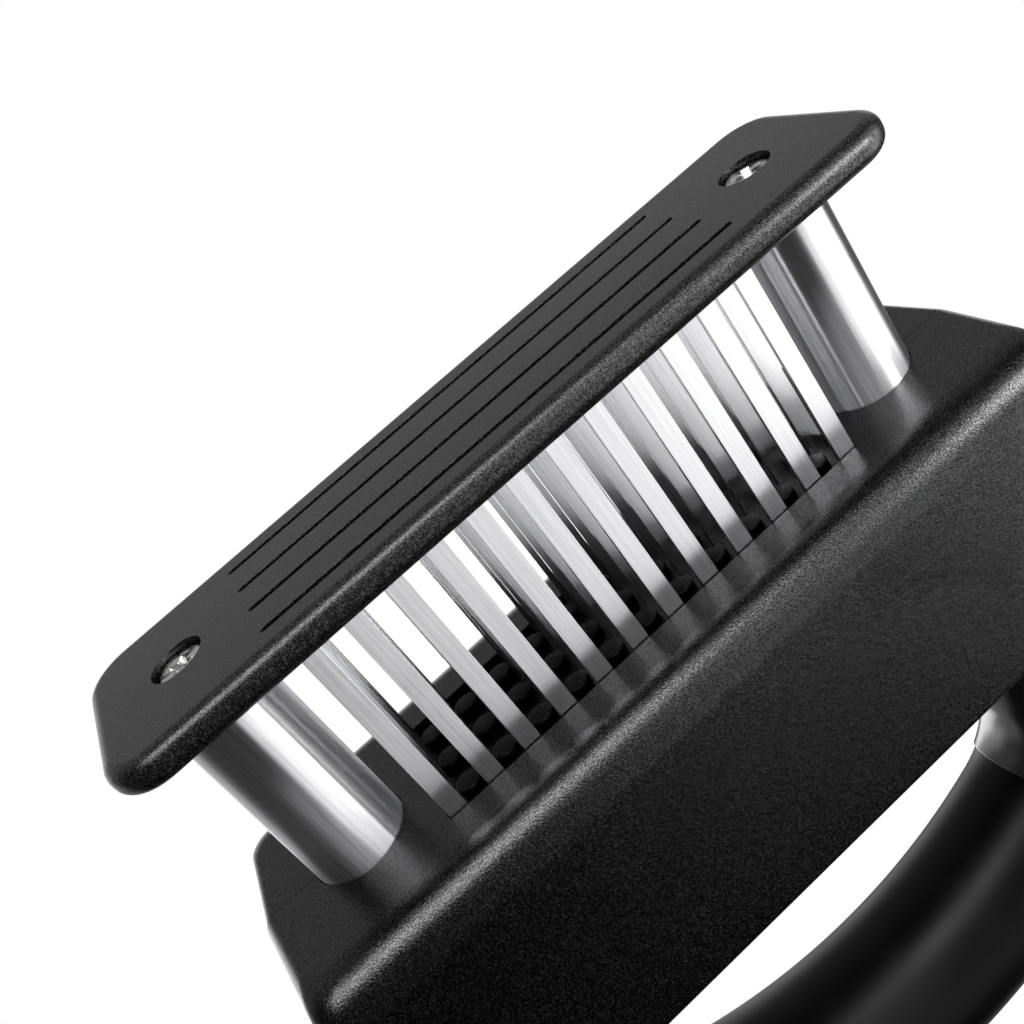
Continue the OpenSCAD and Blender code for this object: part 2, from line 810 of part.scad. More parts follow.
module grip() {
    end = grip_angle - fit / bend_r * 180 / PI;
    color(soft_black)
        difference() {
            bent_bar(core_stations(grip_r, end), handle_sides);
            bent_bar(core_stations(core_r + fit, end + 1), handle_sides);
        }
}

foot_plate();
foot_screws();
column_left();
column_right();
column_plugs();
retaining_rings();
spring_left();
spring_right();
spring_seats();
guide_bush_left();
guide_bush_right();
front_shell();
rear_shell();
blade_comb();
blade_row_1();
blade_row_2();
blade_row_3();
blade_row_4();
clamp_plate();
clamp_screws();
handle_frame();
grip();
shell_screws();
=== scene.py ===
"""Dressed model of a blade meat tenderizer: moulded housing, slotted foot, steel columns and blades,
and an arched handle with a soft grip. Metres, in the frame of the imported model, +Z up, front at -Y."""
import json
import math
from contextlib import contextmanager

import bmesh
import bpy
from mathutils import Matrix, Vector


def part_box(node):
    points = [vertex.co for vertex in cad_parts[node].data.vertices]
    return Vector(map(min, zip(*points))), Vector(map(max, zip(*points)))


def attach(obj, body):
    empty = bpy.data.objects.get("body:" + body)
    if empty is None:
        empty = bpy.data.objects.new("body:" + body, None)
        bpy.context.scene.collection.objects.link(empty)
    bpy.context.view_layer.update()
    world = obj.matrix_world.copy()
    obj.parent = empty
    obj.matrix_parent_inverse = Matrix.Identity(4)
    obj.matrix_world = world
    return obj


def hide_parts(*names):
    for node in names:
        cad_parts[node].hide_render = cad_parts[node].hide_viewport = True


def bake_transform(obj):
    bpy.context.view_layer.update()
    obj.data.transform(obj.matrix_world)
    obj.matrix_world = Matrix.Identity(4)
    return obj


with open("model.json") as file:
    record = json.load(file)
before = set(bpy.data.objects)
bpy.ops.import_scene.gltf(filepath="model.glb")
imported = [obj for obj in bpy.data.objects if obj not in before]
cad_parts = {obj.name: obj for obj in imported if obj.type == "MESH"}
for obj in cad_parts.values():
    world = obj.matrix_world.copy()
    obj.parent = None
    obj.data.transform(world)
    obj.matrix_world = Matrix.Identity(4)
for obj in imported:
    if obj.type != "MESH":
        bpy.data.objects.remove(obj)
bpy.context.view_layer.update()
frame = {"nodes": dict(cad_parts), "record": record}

MM = 0.001
scene = bpy.context.scene
nodes = frame["nodes"]


def size_of(node):
    """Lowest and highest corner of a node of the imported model."""
    low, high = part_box(node)
    return Vector(low), Vector(high)


# ---------- Driving sizes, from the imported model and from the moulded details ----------

GAP = 0.05 * MM     # room round a piece that seats in another
OVER = 1 * MM       # how far a cutter reaches past what it cuts

foot_low, foot_high = size_of("foot_plate")
FOOT_LENGTH = foot_high.x - foot_low.x
FOOT_WIDTH = foot_high.y - foot_low.y
FOOT_THICKNESS = foot_high.z
FOOT_CORNER = 7.5 * MM
FOOT_EDGE = 2.3 * MM

column_low, column_high = size_of("column_right")
COLUMN_RADIUS = (column_high.x - column_low.x) / 2
COLUMN_X = (column_high.x + column_low.x) / 2
COLUMN_BOTTOM = column_low.z
COLUMN_TOP = column_high.z
COLUMN_WALL = 1.6 * MM
RING_GROOVE = 0.7 * MM

ring_low, ring_high = size_of("retaining_rings")

spring_low, spring_high = size_of("spring_right")
SPRING_WIRE = 1.3 * MM
SPRING_CURLS = 13

screw_low, screw_high = size_of("foot_screws")
FOOT_SCREW_RADIUS = (screw_high.y - screw_low.y) / 2
FOOT_SCREW_Z = screw_low.z
FOOT_RECESS_RADIUS = 4.2 * MM
FOOT_RECESS_DEPTH = 2.6 * MM

row_low, row_high = size_of("blade_row_1")
BLADES_PER_ROW = 12
ROWS = 4
BLADE_WIDTH = 3.05 * MM
BLADE_THICKNESS = row_high.y - row_low.y
BLADE_TIP_Z = row_low.z
BLADE_TOP_Z = row_high.z
BLADE_TIP_LENGTH = 3.2 * MM
BLADE_HEAD_WIDTH = 4.6 * MM
BLADE_HEAD_HEIGHT = 3 * MM
BLADE_PITCH = (row_high.x - row_low.x - BLADE_HEAD_WIDTH) / (BLADES_PER_ROW - 1)
ROW_PITCH = -(row_high.y + row_low.y) / 2 / 1.5
SLOT_WIDTH = BLADE_THICKNESS + 0.44 * MM
SLOT_LENGTH = (BLADES_PER_ROW - 1) * BLADE_PITCH + BLADE_WIDTH + 2.2 * MM

shell_low, shell_high = size_of("front_shell")
HOUSE_BOTTOM = shell_low.z
SHOULDER_Z = shell_high.z
HOUSE_HALF_WIDTH = -shell_low.y
HOUSE_HALF_LENGTH = 75.7 * MM   # as built; draw_in_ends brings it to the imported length
END_START = 70 * MM
HOUSE_EDGE_Z = HOUSE_BOTTOM + 45.2 * MM
CROWN_RISE = 4.7 * MM
CROWN_Z = HOUSE_EDGE_Z + CROWN_RISE
END_FLARE = 3.1 * MM
END_SLANT = math.radians(4.5)
HOUSE_CORNER = 4.5 * MM
HOUSE_LONG_EDGE = 7 * MM
HOUSE_END_EDGE = 3 * MM
HOUSE_TOP_EDGE = 1.5 * MM
SEAM_HALF = -shell_high.y
HOUSE_WALL = 2.5 * MM
FLOOR_Z = HOUSE_BOTTOM + HOUSE_WALL
CEILING_Z = SHOULDER_Z - HOUSE_WALL
TOWER_BORE = 9.9 * MM
TOWER_RADIUS = TOWER_BORE + 1.9 * MM
bush_low, bush_high = size_of("guide_bush_right")
BUSH_FLANGE = 1.7 * MM
RIB_THICKNESS = 2 * MM
RIB_PLACES = (0.26, 0.8)        # shares of the comb's half length

comb_top = size_of("blade_comb")[1].z
POCKET_DEPTH = 1.5 * MM
POST_RADIUS = 2.1 * MM
POCKET_HALF_X = (BLADES_PER_ROW - 1) / 2 * BLADE_PITCH + BLADE_WIDTH / 2 + 0.25 * MM
POCKET_HALF_Y = 1.5 * ROW_PITCH + BLADE_THICKNESS / 2 + 0.25 * MM
BLOCK_RIM = 1.95 * MM
BLOCK_HALF_X, BLOCK_HALF_Y = POCKET_HALF_X + BLOCK_RIM, POCKET_HALF_Y + BLOCK_RIM
BLOCK_TOP = HOUSE_BOTTOM + 20 * MM
FLANGE_HEIGHT = 3 * MM
PILLAR_RADIUS = 3 * MM

grip_low, grip_high = size_of("grip")
GRIP_RADIUS = (grip_high.y - grip_low.y) / 2
frame_low, frame_high = size_of("handle_frame")
LEG_RADIUS = (frame_high.y - frame_low.y) / 2
LEG_X = frame_high.x - LEG_RADIUS
ARCH_RADIUS = 114.5 * MM
BEND_RADIUS = 29 * MM
APEX_Z = grip_high.z - GRIP_RADIUS
ARCH_Z = APEX_Z - ARCH_RADIUS
BEND_X = LEG_X - BEND_RADIUS
BEND_ANGLE = math.asin(BEND_X / (ARCH_RADIUS - BEND_RADIUS))
BEND_Z = ARCH_Z + (ARCH_RADIUS - BEND_RADIUS) * math.cos(BEND_ANGLE)
GRIP_ANGLE = math.radians(37)
LEG_BOTTOM = SHOULDER_Z + GAP
PEDESTAL_RADIUS = GRIP_RADIUS + 1 * MM
PEDESTAL_FLARE = 5 * MM
CORE_RADIUS = GRIP_RADIUS - 3.7 * MM
TENON_X, TENON_THICKNESS, TENON_HALF_WIDTH = COLUMN_X + 11.5 * MM, 6.6 * MM, 9 * MM
TENON_WALL = 1.2 * MM
TENON_LENGTH = 21 * MM
TENON_Z = LEG_BOTTOM - TENON_LENGTH
SCREW_PLACES = (
    (0.53 * BLOCK_HALF_X, HOUSE_EDGE_Z - 8.5 * MM),
    (TENON_X + TENON_THICKNESS / 2, LEG_BOTTOM - TENON_LENGTH * 2 / 3),
    (COLUMN_X + TOWER_RADIUS + 1.3 * MM, FLOOR_Z + 7 * MM),
)
BOSS_RADIUS = 3.4 * MM
SCREW_HOLE, SCREW_END_Y = 1.5 * MM, -16 * MM
COUNTERBORE, COUNTERBORE_Y = 2.9 * MM, 12 * MM


# ---------- Mesh helpers ----------

def add_object(name, data):
    obj = bpy.data.objects.new(name, data)
    scene.collection.objects.link(obj)
    return obj


@contextmanager
def edited(mesh):
    """The mesh as a BMesh that is written back at the end."""
    bm = bmesh.new()
    bm.from_mesh(mesh)
    yield bm
    bm.to_mesh(mesh)
    bm.free()


def shade_smooth(mesh):
    mesh.polygons.foreach_set("use_smooth", [True] * len(mesh.polygons))


def new_object(name, verts, faces):
    """A mesh object from points and faces, shaded smooth, with its normals facing outwards."""
    mesh = bpy.data.meshes.new(name)
    mesh.from_pydata([tuple(v) for v in verts], [], faces)
    with edited(mesh) as bm:
        bmesh.ops.remove_doubles(bm, verts=bm.verts, dist=1e-7)
        bmesh.ops.recalc_face_normals(bm, faces=bm.faces)
    shade_smooth(mesh)
    mesh.update()
    return add_object(name, mesh)


def bands(rings, sides, closed=False):
    """Faces between rings of points that follow each other, and back to the first ring if closed."""
    faces = []
    for i in range(rings if closed else rings - 1):
        near, far = i * sides, (i + 1) % rings * sides
        faces += [(near + k, near + (k + 1) % sides, far + (k + 1) % sides, far + k) for k in range(sides)]
    return faces


def arc(cx, cy, r, a0, a1, steps):
    """Points of an arc in a plane, with both ends; angles in degrees."""
    angles = [math.radians(a0 + (a1 - a0) * i / steps) for i in range(steps + 1)]
    return [(cx + r * math.cos(a), cy + r * math.sin(a)) for a in angles]


def lathe(name, profile, centre=(0, 0, 0), segments=96):
    """A closed solid turned about Z from points (r, z): a closed loop, or from the axis back to the axis."""
    closed = profile[0][0] != 0
    verts = []
    for r, z in profile:
        for k in range(segments):
            a = 2 * math.pi * k / segments
            verts.append((centre[0] + r * math.cos(a), centre[1] + r * math.sin(a), centre[2] + z))
    return new_object(name, verts, bands(len(profile), segments, closed))


def plug_profile(r, z0, z1):
    """Profile of a round plug about its axis."""
    return [(0, z0), (r, z0), (r, z1), (0, z1)]


def lofted(name, lower, upper):
    """A solid between two rings of equally many points."""
    n = len(lower)
    faces = [tuple(range(n - 1, -1, -1)), tuple(range(n, 2 * n)), *bands(2, n)]
    return new_object(name, lower + upper, faces)


def prism(name, outline, z0, z1):
    """An upright prism over an outline of (x, y) points."""
    return lofted(name, [(x, y, z0) for x, y in outline], [(x, y, z1) for x, y in outline])


def box(name, low, high):
    outline = [(low[0], low[1]), (high[0], low[1]), (high[0], high[1]), (low[0], high[1])]
    return prism(name, outline, low[2], high[2])


def turned_along_y(name, profile, x, z, segments=40):
    """A solid turned about the Y axis through (x, z), from points (r, y) on its outline."""
    obj = lathe(name, profile, segments=segments)
    obj.data.transform(Matrix.Translation((x, 0, z)) @ Matrix.Rotation(math.radians(-90), 4, "X"))
    return obj


def stadium(length, width, y):
    """Outline of a slot along X, centred on (0, y)."""
    r = width / 2
    half = length / 2 - r
    return arc(half, y, r, -90, 90, 10) + arc(-half, y, r, 90, 270, 10)


def rounded_rectangle(half_x, half_y, r, steps):
    x, y = half_x - r, half_y - r
    return (arc(x, y, r, 0, 90, steps) + arc(-x, y, r, 90, 180, steps)
            + arc(-x, -y, r, 180, 270, steps) + arc(x, -y, r, 270, 360, steps))


def settle(obj):
    """Turns the object's modifiers into its plain mesh."""
    graph = bpy.context.evaluated_depsgraph_get()
    mesh = bpy.data.meshes.new_from_object(obj.evaluated_get(graph), preserve_all_data_layers=True,
                                           depsgraph=graph)
    obj.modifiers.clear()
    old = obj.data
    obj.data = mesh
    bpy.data.meshes.remove(old)
    return obj


def combine(obj, others, operation):
    """Cuts the others from obj, adds them to it or keeps what it shares with them, and deletes them."""
    for other in others:
        modifier = obj.modifiers.new("combine", "BOOLEAN")
        modifier.operation = operation
        modifier.solver = "EXACT"
        modifier.object = other
    settle(obj)
    with edited(obj.data) as bm:
        bmesh.ops.dissolve_degenerate(bm, dist=1e-6, edges=bm.edges)
    for other in others:
        bpy.data.objects.remove(other)
    return obj


def soften(obj, width, segments=2, angle=35):
    """Breaks the sharp edges by width and keeps flat faces flat under smooth shading."""
    shade_smooth(obj.data)
    bevel = obj.modifiers.new("broken edges", "BEVEL")
    bevel.width = width
    bevel.segments = segments
    bevel.limit_method = "ANGLE"
    bevel.angle_limit = math.radians(angle)
    bevel.miter_outer = "MITER_ARC"
    return flatten(obj)


def flatten(obj):
    """Keeps flat faces flat under smooth shading, across all edges but the sharp ones."""
    weighted = obj.modifiers.new("flat faces", "WEIGHTED_NORMAL")
    weighted.weight = 80
    weighted.keep_sharp = True
    return settle(obj)


def join(name, objects):
    """One object from several plain meshes."""
    bm = bmesh.new()
    for obj in objects:
        bm.from_mesh(obj.data)
    mesh = bpy.data.meshes.new(name)
    bm.to_mesh(mesh)
    bm.free()
    for obj in objects:
        bpy.data.objects.remove(obj)
    return add_object(name, mesh)


def spaced_copies_tree():
    """Geometry nodes that set a piece at each point of a centred grid, and the tree's input names."""
    tree = bpy.data.node_groups.new("spaced copies", "GeometryNodeTree")
    sockets = {}
    tree.interface.new_socket("Geometry", in_out="INPUT", socket_type="NodeSocketGeometry")
    for label, kind in (("Columns", "NodeSocketInt"), ("Rows", "NodeSocketInt"),
                        ("Column pitch", "NodeSocketFloat"), ("Row pitch", "NodeSocketFloat"),
                        ("Piece", "NodeSocketObject"), ("Finish", "NodeSocketMaterial")):
        sockets[label] = tree.interface.new_socket(label, in_out="INPUT", socket_type=kind).identifier
    tree.interface.new_socket("Geometry", in_out="OUTPUT", socket_type="NodeSocketGeometry")
    new, link = tree.nodes.new, tree.links.new
    given = new("NodeGroupInput")
    grid = new("GeometryNodeMeshGrid")
    for count, pitch, size, verts in (("Columns", "Column pitch", "Size X", "Vertices X"),
                                      ("Rows", "Row pitch", "Size Y", "Vertices Y")):
        less = new("ShaderNodeMath")
        less.operation = "SUBTRACT"
        less.inputs[1].default_value = 1
        span = new("ShaderNodeMath")
        span.operation = "MULTIPLY"
        link(given.outputs[count], less.inputs[0])
        link(less.outputs[0], span.inputs[0])
        link(given.outputs[pitch], span.inputs[1])
        link(span.outputs[0], grid.inputs[size])
        link(given.outputs[count], grid.inputs[verts])
    piece = new("GeometryNodeObjectInfo")
    place = new("GeometryNodeInstanceOnPoints")
    realize = new("GeometryNodeRealizeInstances")
    finish = new("GeometryNodeSetMaterial")
    done = new("NodeGroupOutput")
    link(given.outputs["Piece"], piece.inputs["Object"])
    link(grid.outputs["Mesh"], place.inputs["Points"])
    link(piece.outputs["Geometry"], place.inputs["Instance"])
    link(place.outputs["Instances"], realize.inputs["Geometry"])
    link(realize.outputs["Geometry"], finish.inputs["Geometry"])
    link(given.outputs["Finish"], finish.inputs["Material"])
    link(finish.outputs["Geometry"], done.inputs["Geometry"])
    return tree, sockets


COPIES_TREE, COPIES_SOCKETS = spaced_copies_tree()


def spaced_copies(name, piece, material, columns, rows, column_pitch, row_pitch, offset=(0, 0, 0)):
    """The piece repeated on a grid, as one plain mesh; the pattern piece is deleted."""
    obj = add_object(name, bpy.data.meshes.new(name))
    modifier = obj.modifiers.new("copies", "NODES")
    modifier.node_group = COPIES_TREE
    for label, value in (("Columns", columns), ("Rows", rows), ("Column pitch", column_pitch),
                         ("Row pitch", row_pitch), ("Piece", piece), ("Finish", material)):
        modifier[COPIES_SOCKETS[label]] = value
    settle(obj)
    obj.data.transform(Matrix.Translation(offset))
    bpy.data.objects.remove(piece)
    return obj


# ---------- Materials ----------

class Surface:
    """A material's node tree with a Principled shader, built up in a few words."""

    def __init__(self, name, color, roughness, metallic=0.0, **sockets):
        self.material = bpy.data.materials.new(name)
        self.material.use_nodes = True
        self.tree = self.material.node_tree
        self.shader = self.tree.nodes["Principled BSDF"]
        self.place = self.add("ShaderNodeTexCoord").outputs["Object"]
        self.set("Base Color", (*color, 1))
        self.set("Roughness", roughness)
        self.set("Metallic", metallic)
        for label, value in sockets.items():
            self.set(label.replace("_", " "), value)

    def set(self, label, value):
        self.shader.inputs[label].default_value = value

    def add(self, kind, **inputs):
        node = self.tree.nodes.new(kind)
        for label, value in inputs.items():
            self.feed(node.inputs[label.replace("_", " ")], value)
        return node

    def feed(self, socket, value):
        if isinstance(value, bpy.types.NodeSocket):
            self.tree.links.new(value, socket)
        else:
            socket.default_value = value

    def stretched(self, scale):
        """Object coordinates scaled by (x, y, z)."""
        mapping = self.add("ShaderNodeMapping")
        self.feed(mapping.inputs["Vector"], self.place)
        mapping.inputs["Scale"].default_value = scale
        return mapping.outputs[0]

    def noise(self, scale, detail=2.0, roughness=0.5, vector=None):
        return self.add("ShaderNodeTexNoise", Vector=vector or self.place, Scale=scale, Detail=detail,
                        Roughness=roughness).outputs["Fac"]

    def cells(self, scale):
        node = self.tree.nodes.new("ShaderNodeTexVoronoi")
        node.feature = "SMOOTH_F1"
        self.feed(node.inputs["Vector"], self.place)
        node.inputs["Scale"].default_value = scale
        node.inputs["Smoothness"].default_value = 0.6
        return node.outputs["Distance"]

    def remap(self, value, low, high, to_low, to_high):
        node = self.add("ShaderNodeMapRange")
        for label, v in (("Value", value), ("From Min", low), ("From Max", high), ("To Min", to_low),
                         ("To Max", to_high)):
            self.feed(node.inputs[label], v)
        return node.outputs[0]

    def math(self, operation, a, b):
        node = self.tree.nodes.new("ShaderNodeMath")
        node.operation = operation
        self.feed(node.inputs[0], a)
        self.feed(node.inputs[1], b)
        return node.outputs[0]

    def shade(self, amount, dark, light):
        """The base colour runs from dark to light with amount."""
        mix = self.tree.nodes.new("ShaderNodeMix")
        mix.data_type = "RGBA"
        self.feed(mix.inputs[0], amount)
        mix.inputs[6].default_value = (*dark, 1)
        mix.inputs[7].default_value = (*light, 1)
        self.tree.links.new(mix.outputs[2], self.shader.inputs["Base Color"])

    def rough(self, amount):
        self.tree.links.new(amount, self.shader.inputs["Roughness"])

    def bump(self, height, depth, under=None):
        node = self.tree.nodes.new("ShaderNodeBump")
        node.inputs["Strength"].default_value = 1
        node.inputs["Distance"].default_value = depth
        self.tree.links.new(height, node.inputs["Height"])
        if under is not None:
            self.tree.links.new(under, node.inputs["Normal"])
        self.tree.links.new(node.outputs[0], self.shader.inputs["Normal"])
        return node.outputs[0]


def grey(value):
    """A grey with a breath of blue."""
    return (value, value, value * 1.03)


def spark_grained_plastic(name, level, roughness, grain, depth, shine):
    """Moulded plastic with the pitted grain of a spark-eroded mould: matt from afar, speckled close by."""
    s = Surface(name, grey(level), roughness)
    pits = s.cells(1 / grain)
    fine = s.noise(1.0 / grain, detail=1.5, roughness=0.6)
    broad = s.noise(45, detail=3)
    specks = s.remap(fine, 0.56, 0.7, 0.0, 1.0)
    patches = s.remap(broad, 0.3, 0.7, 0.5, 1.0)
    s.shade(s.math("MULTIPLY", specks, patches), grey(level * 0.02), grey(level))
    s.rough(s.remap(fine, 0.35, 0.65, roughness - 0.04, roughness + 0.06))
    s.tree.links.new(s.remap(fine, 0.36, 0.64, shine * 0.25, shine), s.shader.inputs["Specular IOR Level"])
    coarse = s.bump(pits, depth)
    s.bump(fine, depth, under=coarse)
    return s.material


def soft_touch_rubber():
    s = Surface("soft touch rubber", grey(0.001), 0.32, Specular_IOR_Level=0.17)
    fine = s.noise(4200, detail=2)
    cloudy = s.noise(90, detail=3)
    s.rough(s.remap(cloudy, 0.3, 0.7, 0.33, 0.41))
    s.shade(cloudy, grey(0.0008), grey(0.0015))
    s.bump(fine, 0.012 * MM)
    return s.material


def satin_grey_plastic():
    s = Surface("satin grey plastic", grey(0.02), 0.22, Specular_IOR_Level=0.8)
    fine = s.noise(5200, detail=2)
    broad = s.noise(70, detail=2)
    s.shade(broad, grey(0.014), grey(0.026))
    s.rough(s.remap(fine, 0.3, 0.7, 0.17, 0.25))
    s.bump(fine, 0.01 * MM)
    return s.material


def ground_steel(name, level, roughness, streak_scale, streak_depth, contrast, spread=None):
    """Bright stainless steel with fine streaks, whose grinding spreads reflections along a direction."""
    s = Surface(name, (level, level, level), roughness, metallic=1.0)
    streaks = s.noise(1.0, detail=4, roughness=0.65, vector=s.stretched(streak_scale))
    smudges = s.noise(140, detail=3)
    s.shade(s.remap(streaks, 0.35, 0.65, 0, 1), grey(level * (1 - contrast)),
            grey(level * (1 + contrast)))
    mixed = s.math("ADD", s.math("MULTIPLY", streaks, 0.6), s.math("MULTIPLY", smudges, 0.4))
    s.rough(s.remap(mixed, 0.3, 0.7, roughness * 0.85, roughness * 1.15))
    s.bump(streaks, streak_depth)
    if spread:
        s.set("Anisotropic", 0.97)
        along = s.add("ShaderNodeCombineXYZ", X=spread[0], Y=spread[1], Z=spread[2])
        s.tree.links.new(along.outputs[0], s.shader.inputs["Tangent"])
    return s.material


def bright_plating():
    s = Surface("bright plating", (0.78, 0.78, 0.77), 0.16, metallic=1.0)
    dents = s.noise(900, detail=3)
    s.rough(s.remap(dents, 0.3, 0.7, 0.1, 0.26))
    s.bump(dents, 0.02 * MM)
    return s.material


def natural_acetal():
    s = Surface("natural acetal", (0.78, 0.77, 0.72), 0.4)
    s.shade(s.noise(300), (0.74, 0.73, 0.68), (0.8, 0.79, 0.74))
    return s.material


HOUSING_BLACK = spark_grained_plastic("housing black", 0.025, 0.21, 0.22 * MM, 0.022 * MM, 0.9)
FOOT_BLACK = spark_grained_plastic("foot black", 0.055, 0.3, 0.22 * MM, 0.014 * MM, 1.05)
# The comb's black is set far darker and duller than the housing's: painted shade of the blade pocket it sits
# in.
COMB_BLACK_PAINTED_SHADE = spark_grained_plastic("comb black with painted shade", 0.004, 0.34, 0.3 * MM, 0.008 * MM, 0.2)
GRIP_RUBBER = soft_touch_rubber()
LEG_GREY = satin_grey_plastic()
COLUMN_STEEL = ground_steel("ground column steel", 0.86, 0.36, (2600, 2600, 45), 0.0005 * MM, 0.14,
                            spread=(0, 0, 1))
BLADE_STEEL = ground_steel("ground blade steel", 0.92, 0.3, (3000, 900, 40), 0.0005 * MM, 0.1,
                           spread=(1, 0, 0))
PLATE_STEEL = ground_steel("plain plate steel", 0.6, 0.35, (300, 2400, 2400), 0.002 * MM, 0.2)
SPRING_STEEL = ground_steel("drawn spring steel", 0.5, 0.3, (1500, 1500, 1500), 0.002 * MM, 0.2)
PLATING = bright_plating()
ACETAL = natural_acetal()

SLOT_FINISH = {
    "black_plastic": HOUSING_BLACK, "foot_plastic": FOOT_BLACK, "comb_plastic": COMB_BLACK_PAINTED_SHADE,
    "soft_grip": GRIP_RUBBER, "grey_plastic": LEG_GREY, "column_steel": COLUMN_STEEL,
    "blade_steel": BLADE_STEEL, "screw_chrome": PLATING, "spring_steel": SPRING_STEEL,
    "plate_steel": PLATE_STEEL, "bush_plastic": ACETAL,
}


def dress(obj, name, body, slot, *replaced):
    """Names a piece and gives it its finish and its place in the assembly."""
    obj.name = obj.data.name = name
    obj.data.materials.clear()
    obj.data.materials.append(SLOT_FINISH[slot])
    for face in obj.data.polygons:
        face.material_index = 0
    if body:
        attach(obj, body)
    if replaced:
        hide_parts(*replaced)
    return obj


def dress_packed_nodes():
    """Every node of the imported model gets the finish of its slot."""
    for part in frame["record"]["subparts"]:
        mesh = nodes[part["node"]].data
        finish = SLOT_FINISH[part["material_slot"]]
        if not mesh.materials:
            mesh.materials.append(finish)
        for i in range(len(mesh.materials)):
            mesh.materials[i] = finish


# ---------- Foot ----------

def foot_plate():
    half_x, half_y = FOOT_LENGTH / 2, FOOT_WIDTH / 2
    profile = arc(FOOT_EDGE, FOOT_EDGE, FOOT_EDGE, 270, 180, 9)
    profile += [(p[0], FOOT_THICKNESS - p[1]) for p in reversed(profile)]
    verts = []
    for inset, z in profile:
        outline = rounded_rectangle(half_x - inset, half_y - inset, FOOT_CORNER - inset, 12)
        verts += [(x, y, z) for x, y in outline]
    n = len(outline)
    faces = bands(len(profile), n) + [tuple(range(n - 1, -1, -1)), tuple(range(len(verts) - n, len(verts)))]
    plate = new_object("foot_plate_moulded", verts, faces)
    cutters = []
    for row in range(ROWS):
        y = (row - (ROWS - 1) / 2) * ROW_PITCH
        cutters.append(prism("slot", stadium(SLOT_LENGTH, SLOT_WIDTH, y), -OVER, FOOT_THICKNESS + OVER))
    for side in (-1, 1):
        centre = (side * COLUMN_X, 0, 0)
        recess = plug_profile(FOOT_RECESS_RADIUS, -OVER, FOOT_RECESS_DEPTH)
        seat = plug_profile(COLUMN_RADIUS + GAP, COLUMN_BOTTOM, FOOT_THICKNESS + OVER)
        cutters += [lathe("recess", recess, centre, 64), lathe("seat", seat, centre, 96)]
    combine(plate, cutters, "DIFFERENCE")
    soften(plate, 0.18 * MM)
    return dress(plate, "foot_plate_moulded", "foot", "foot_plastic", "foot_plate")


def cross_recess_cutters(across, depth):
    """A tapered cross with a pointed middle, sunk upwards from the origin."""
    wing = across * 0.14
    top, bottom = across / 2, across / 2 * 0.62
    over = 0.2 * MM
    cutters = []
    for turn in (0, 90):
        c, s = math.cos(math.radians(turn)), math.sin(math.radians(turn))
        verts = []
        for reach, half, z in ((top * 1.03, wing * 1.05, -over), (bottom, wing * 0.8, depth)):
            for x, y in ((-reach, -half), (reach, -half), (reach, half), (-reach, half)):
                verts.append((x * c - y * s, x * s + y * c, z))
        faces = [(0, 1, 2, 3), (4, 5, 6, 7), (0, 1, 5, 4), (1, 2, 6, 5), (2, 3, 7, 6), (3, 0, 4, 7)]
        cutters.append(new_object("cross", verts, faces))
    middle = across * 0.24
    profile = [(0, -over), (middle, -over), (middle * 0.5, depth), (0, depth * 1.25)]
    cutters.append(lathe("middle", profile, segments=24))
    return cutters


def foot_screws():
    r = FOOT_SCREW_RADIUS
    head, edge = 1.65 * MM, 0.35 * MM
    cross, cross_depth, cross_turn = 4.6 * MM, 1.2 * MM, math.radians(28)
    profile = [(0, 0)] + arc(r - edge, edge, edge, 270, 360, 5) + [(r, head), (0, head)]
    screw = lathe("foot screw", profile, segments=64)
    combine(screw, cross_recess_cutters(cross, cross_depth), "DIFFERENCE")
    screw.data.transform(Matrix.Rotation(cross_turn, 4, "Z"))
    soften(screw, 0.06 * MM)
    pair = spaced_copies("foot_screw_heads", screw, PLATING, 2, 1, 2 * COLUMN_X, 0,
                         (0, 0, FOOT_SCREW_Z))
    return dress(pair, "foot_screw_heads", "foot", "screw_chrome", "foot_screws")


def columns():
    bore = COLUMN_RADIUS - COLUMN_WALL
    edge = 0.25 * MM
    r = COLUMN_RADIUS
    groove = [(r, ring_low.z - GAP), (r - RING_GROOVE, ring_low.z - GAP),
              (r - RING_GROOVE, ring_high.z + GAP), (r, ring_high.z + GAP)]
    profile = [(bore, COLUMN_BOTTOM), (r - edge, COLUMN_BOTTOM), (r, COLUMN_BOTTOM + edge), *groove,
               (r, COLUMN_TOP - edge), (r - edge, COLUMN_TOP), (bore, COLUMN_TOP)]
    for name, side in (("column_left", -1), ("column_right", 1)):
        tube = lathe(name + "_ground", profile, (side * COLUMN_X, 0, 0), 160)
        tube.data.set_sharp_from_angle(angle=math.radians(30))
        dress(tube, name + "_ground", "foot", "column_steel", name)


def springs():
    """A coil spring in each column, as long as the imported spring."""
    wire = 0.5 * SPRING_WIRE
    coil_radius = (spring_high.x - spring_low.x) / 2 - wire
    centre_x = (spring_high.x + spring_low.x) / 2
    z0, z1 = spring_low.z + wire, spring_high.z - wire
    end_pitch = SPRING_WIRE + 0.1 * MM
    body_pitch = (z1 - z0 - 2 * end_pitch) / (SPRING_CURLS - 2)
    per_curl, sides = 48, 12
    last = SPRING_CURLS * per_curl
    verts = []
    for i in range(last + 1):
        t = i / per_curl
        z = z0 + end_pitch * min(t, 1) + body_pitch * min(max(t - 1, 0), SPRING_CURLS - 2)
        z += end_pitch * max(t - SPRING_CURLS + 1, 0)
        turn = 2 * math.pi * t
        for k in range(sides):
            a = 2 * math.pi * k / sides
            r = coil_radius + wire * math.cos(a)
            verts.append((r * math.cos(turn), r * math.sin(turn), z + wire * math.sin(a)))
    faces = bands(last + 1, sides)
    faces += [tuple(range(sides)), tuple(range((last + 1) * sides - 1, last * sides - 1, -1))]
    for name, side in (("spring_left", -1), ("spring_right", 1)):
        coil = new_object(name, [(x + side * centre_x, y, z) for x, y, z in verts], faces)
        dress(coil, name + "_coil", None, "spring_steel", name)
        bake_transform(coil)


# ---------- Blades ----------

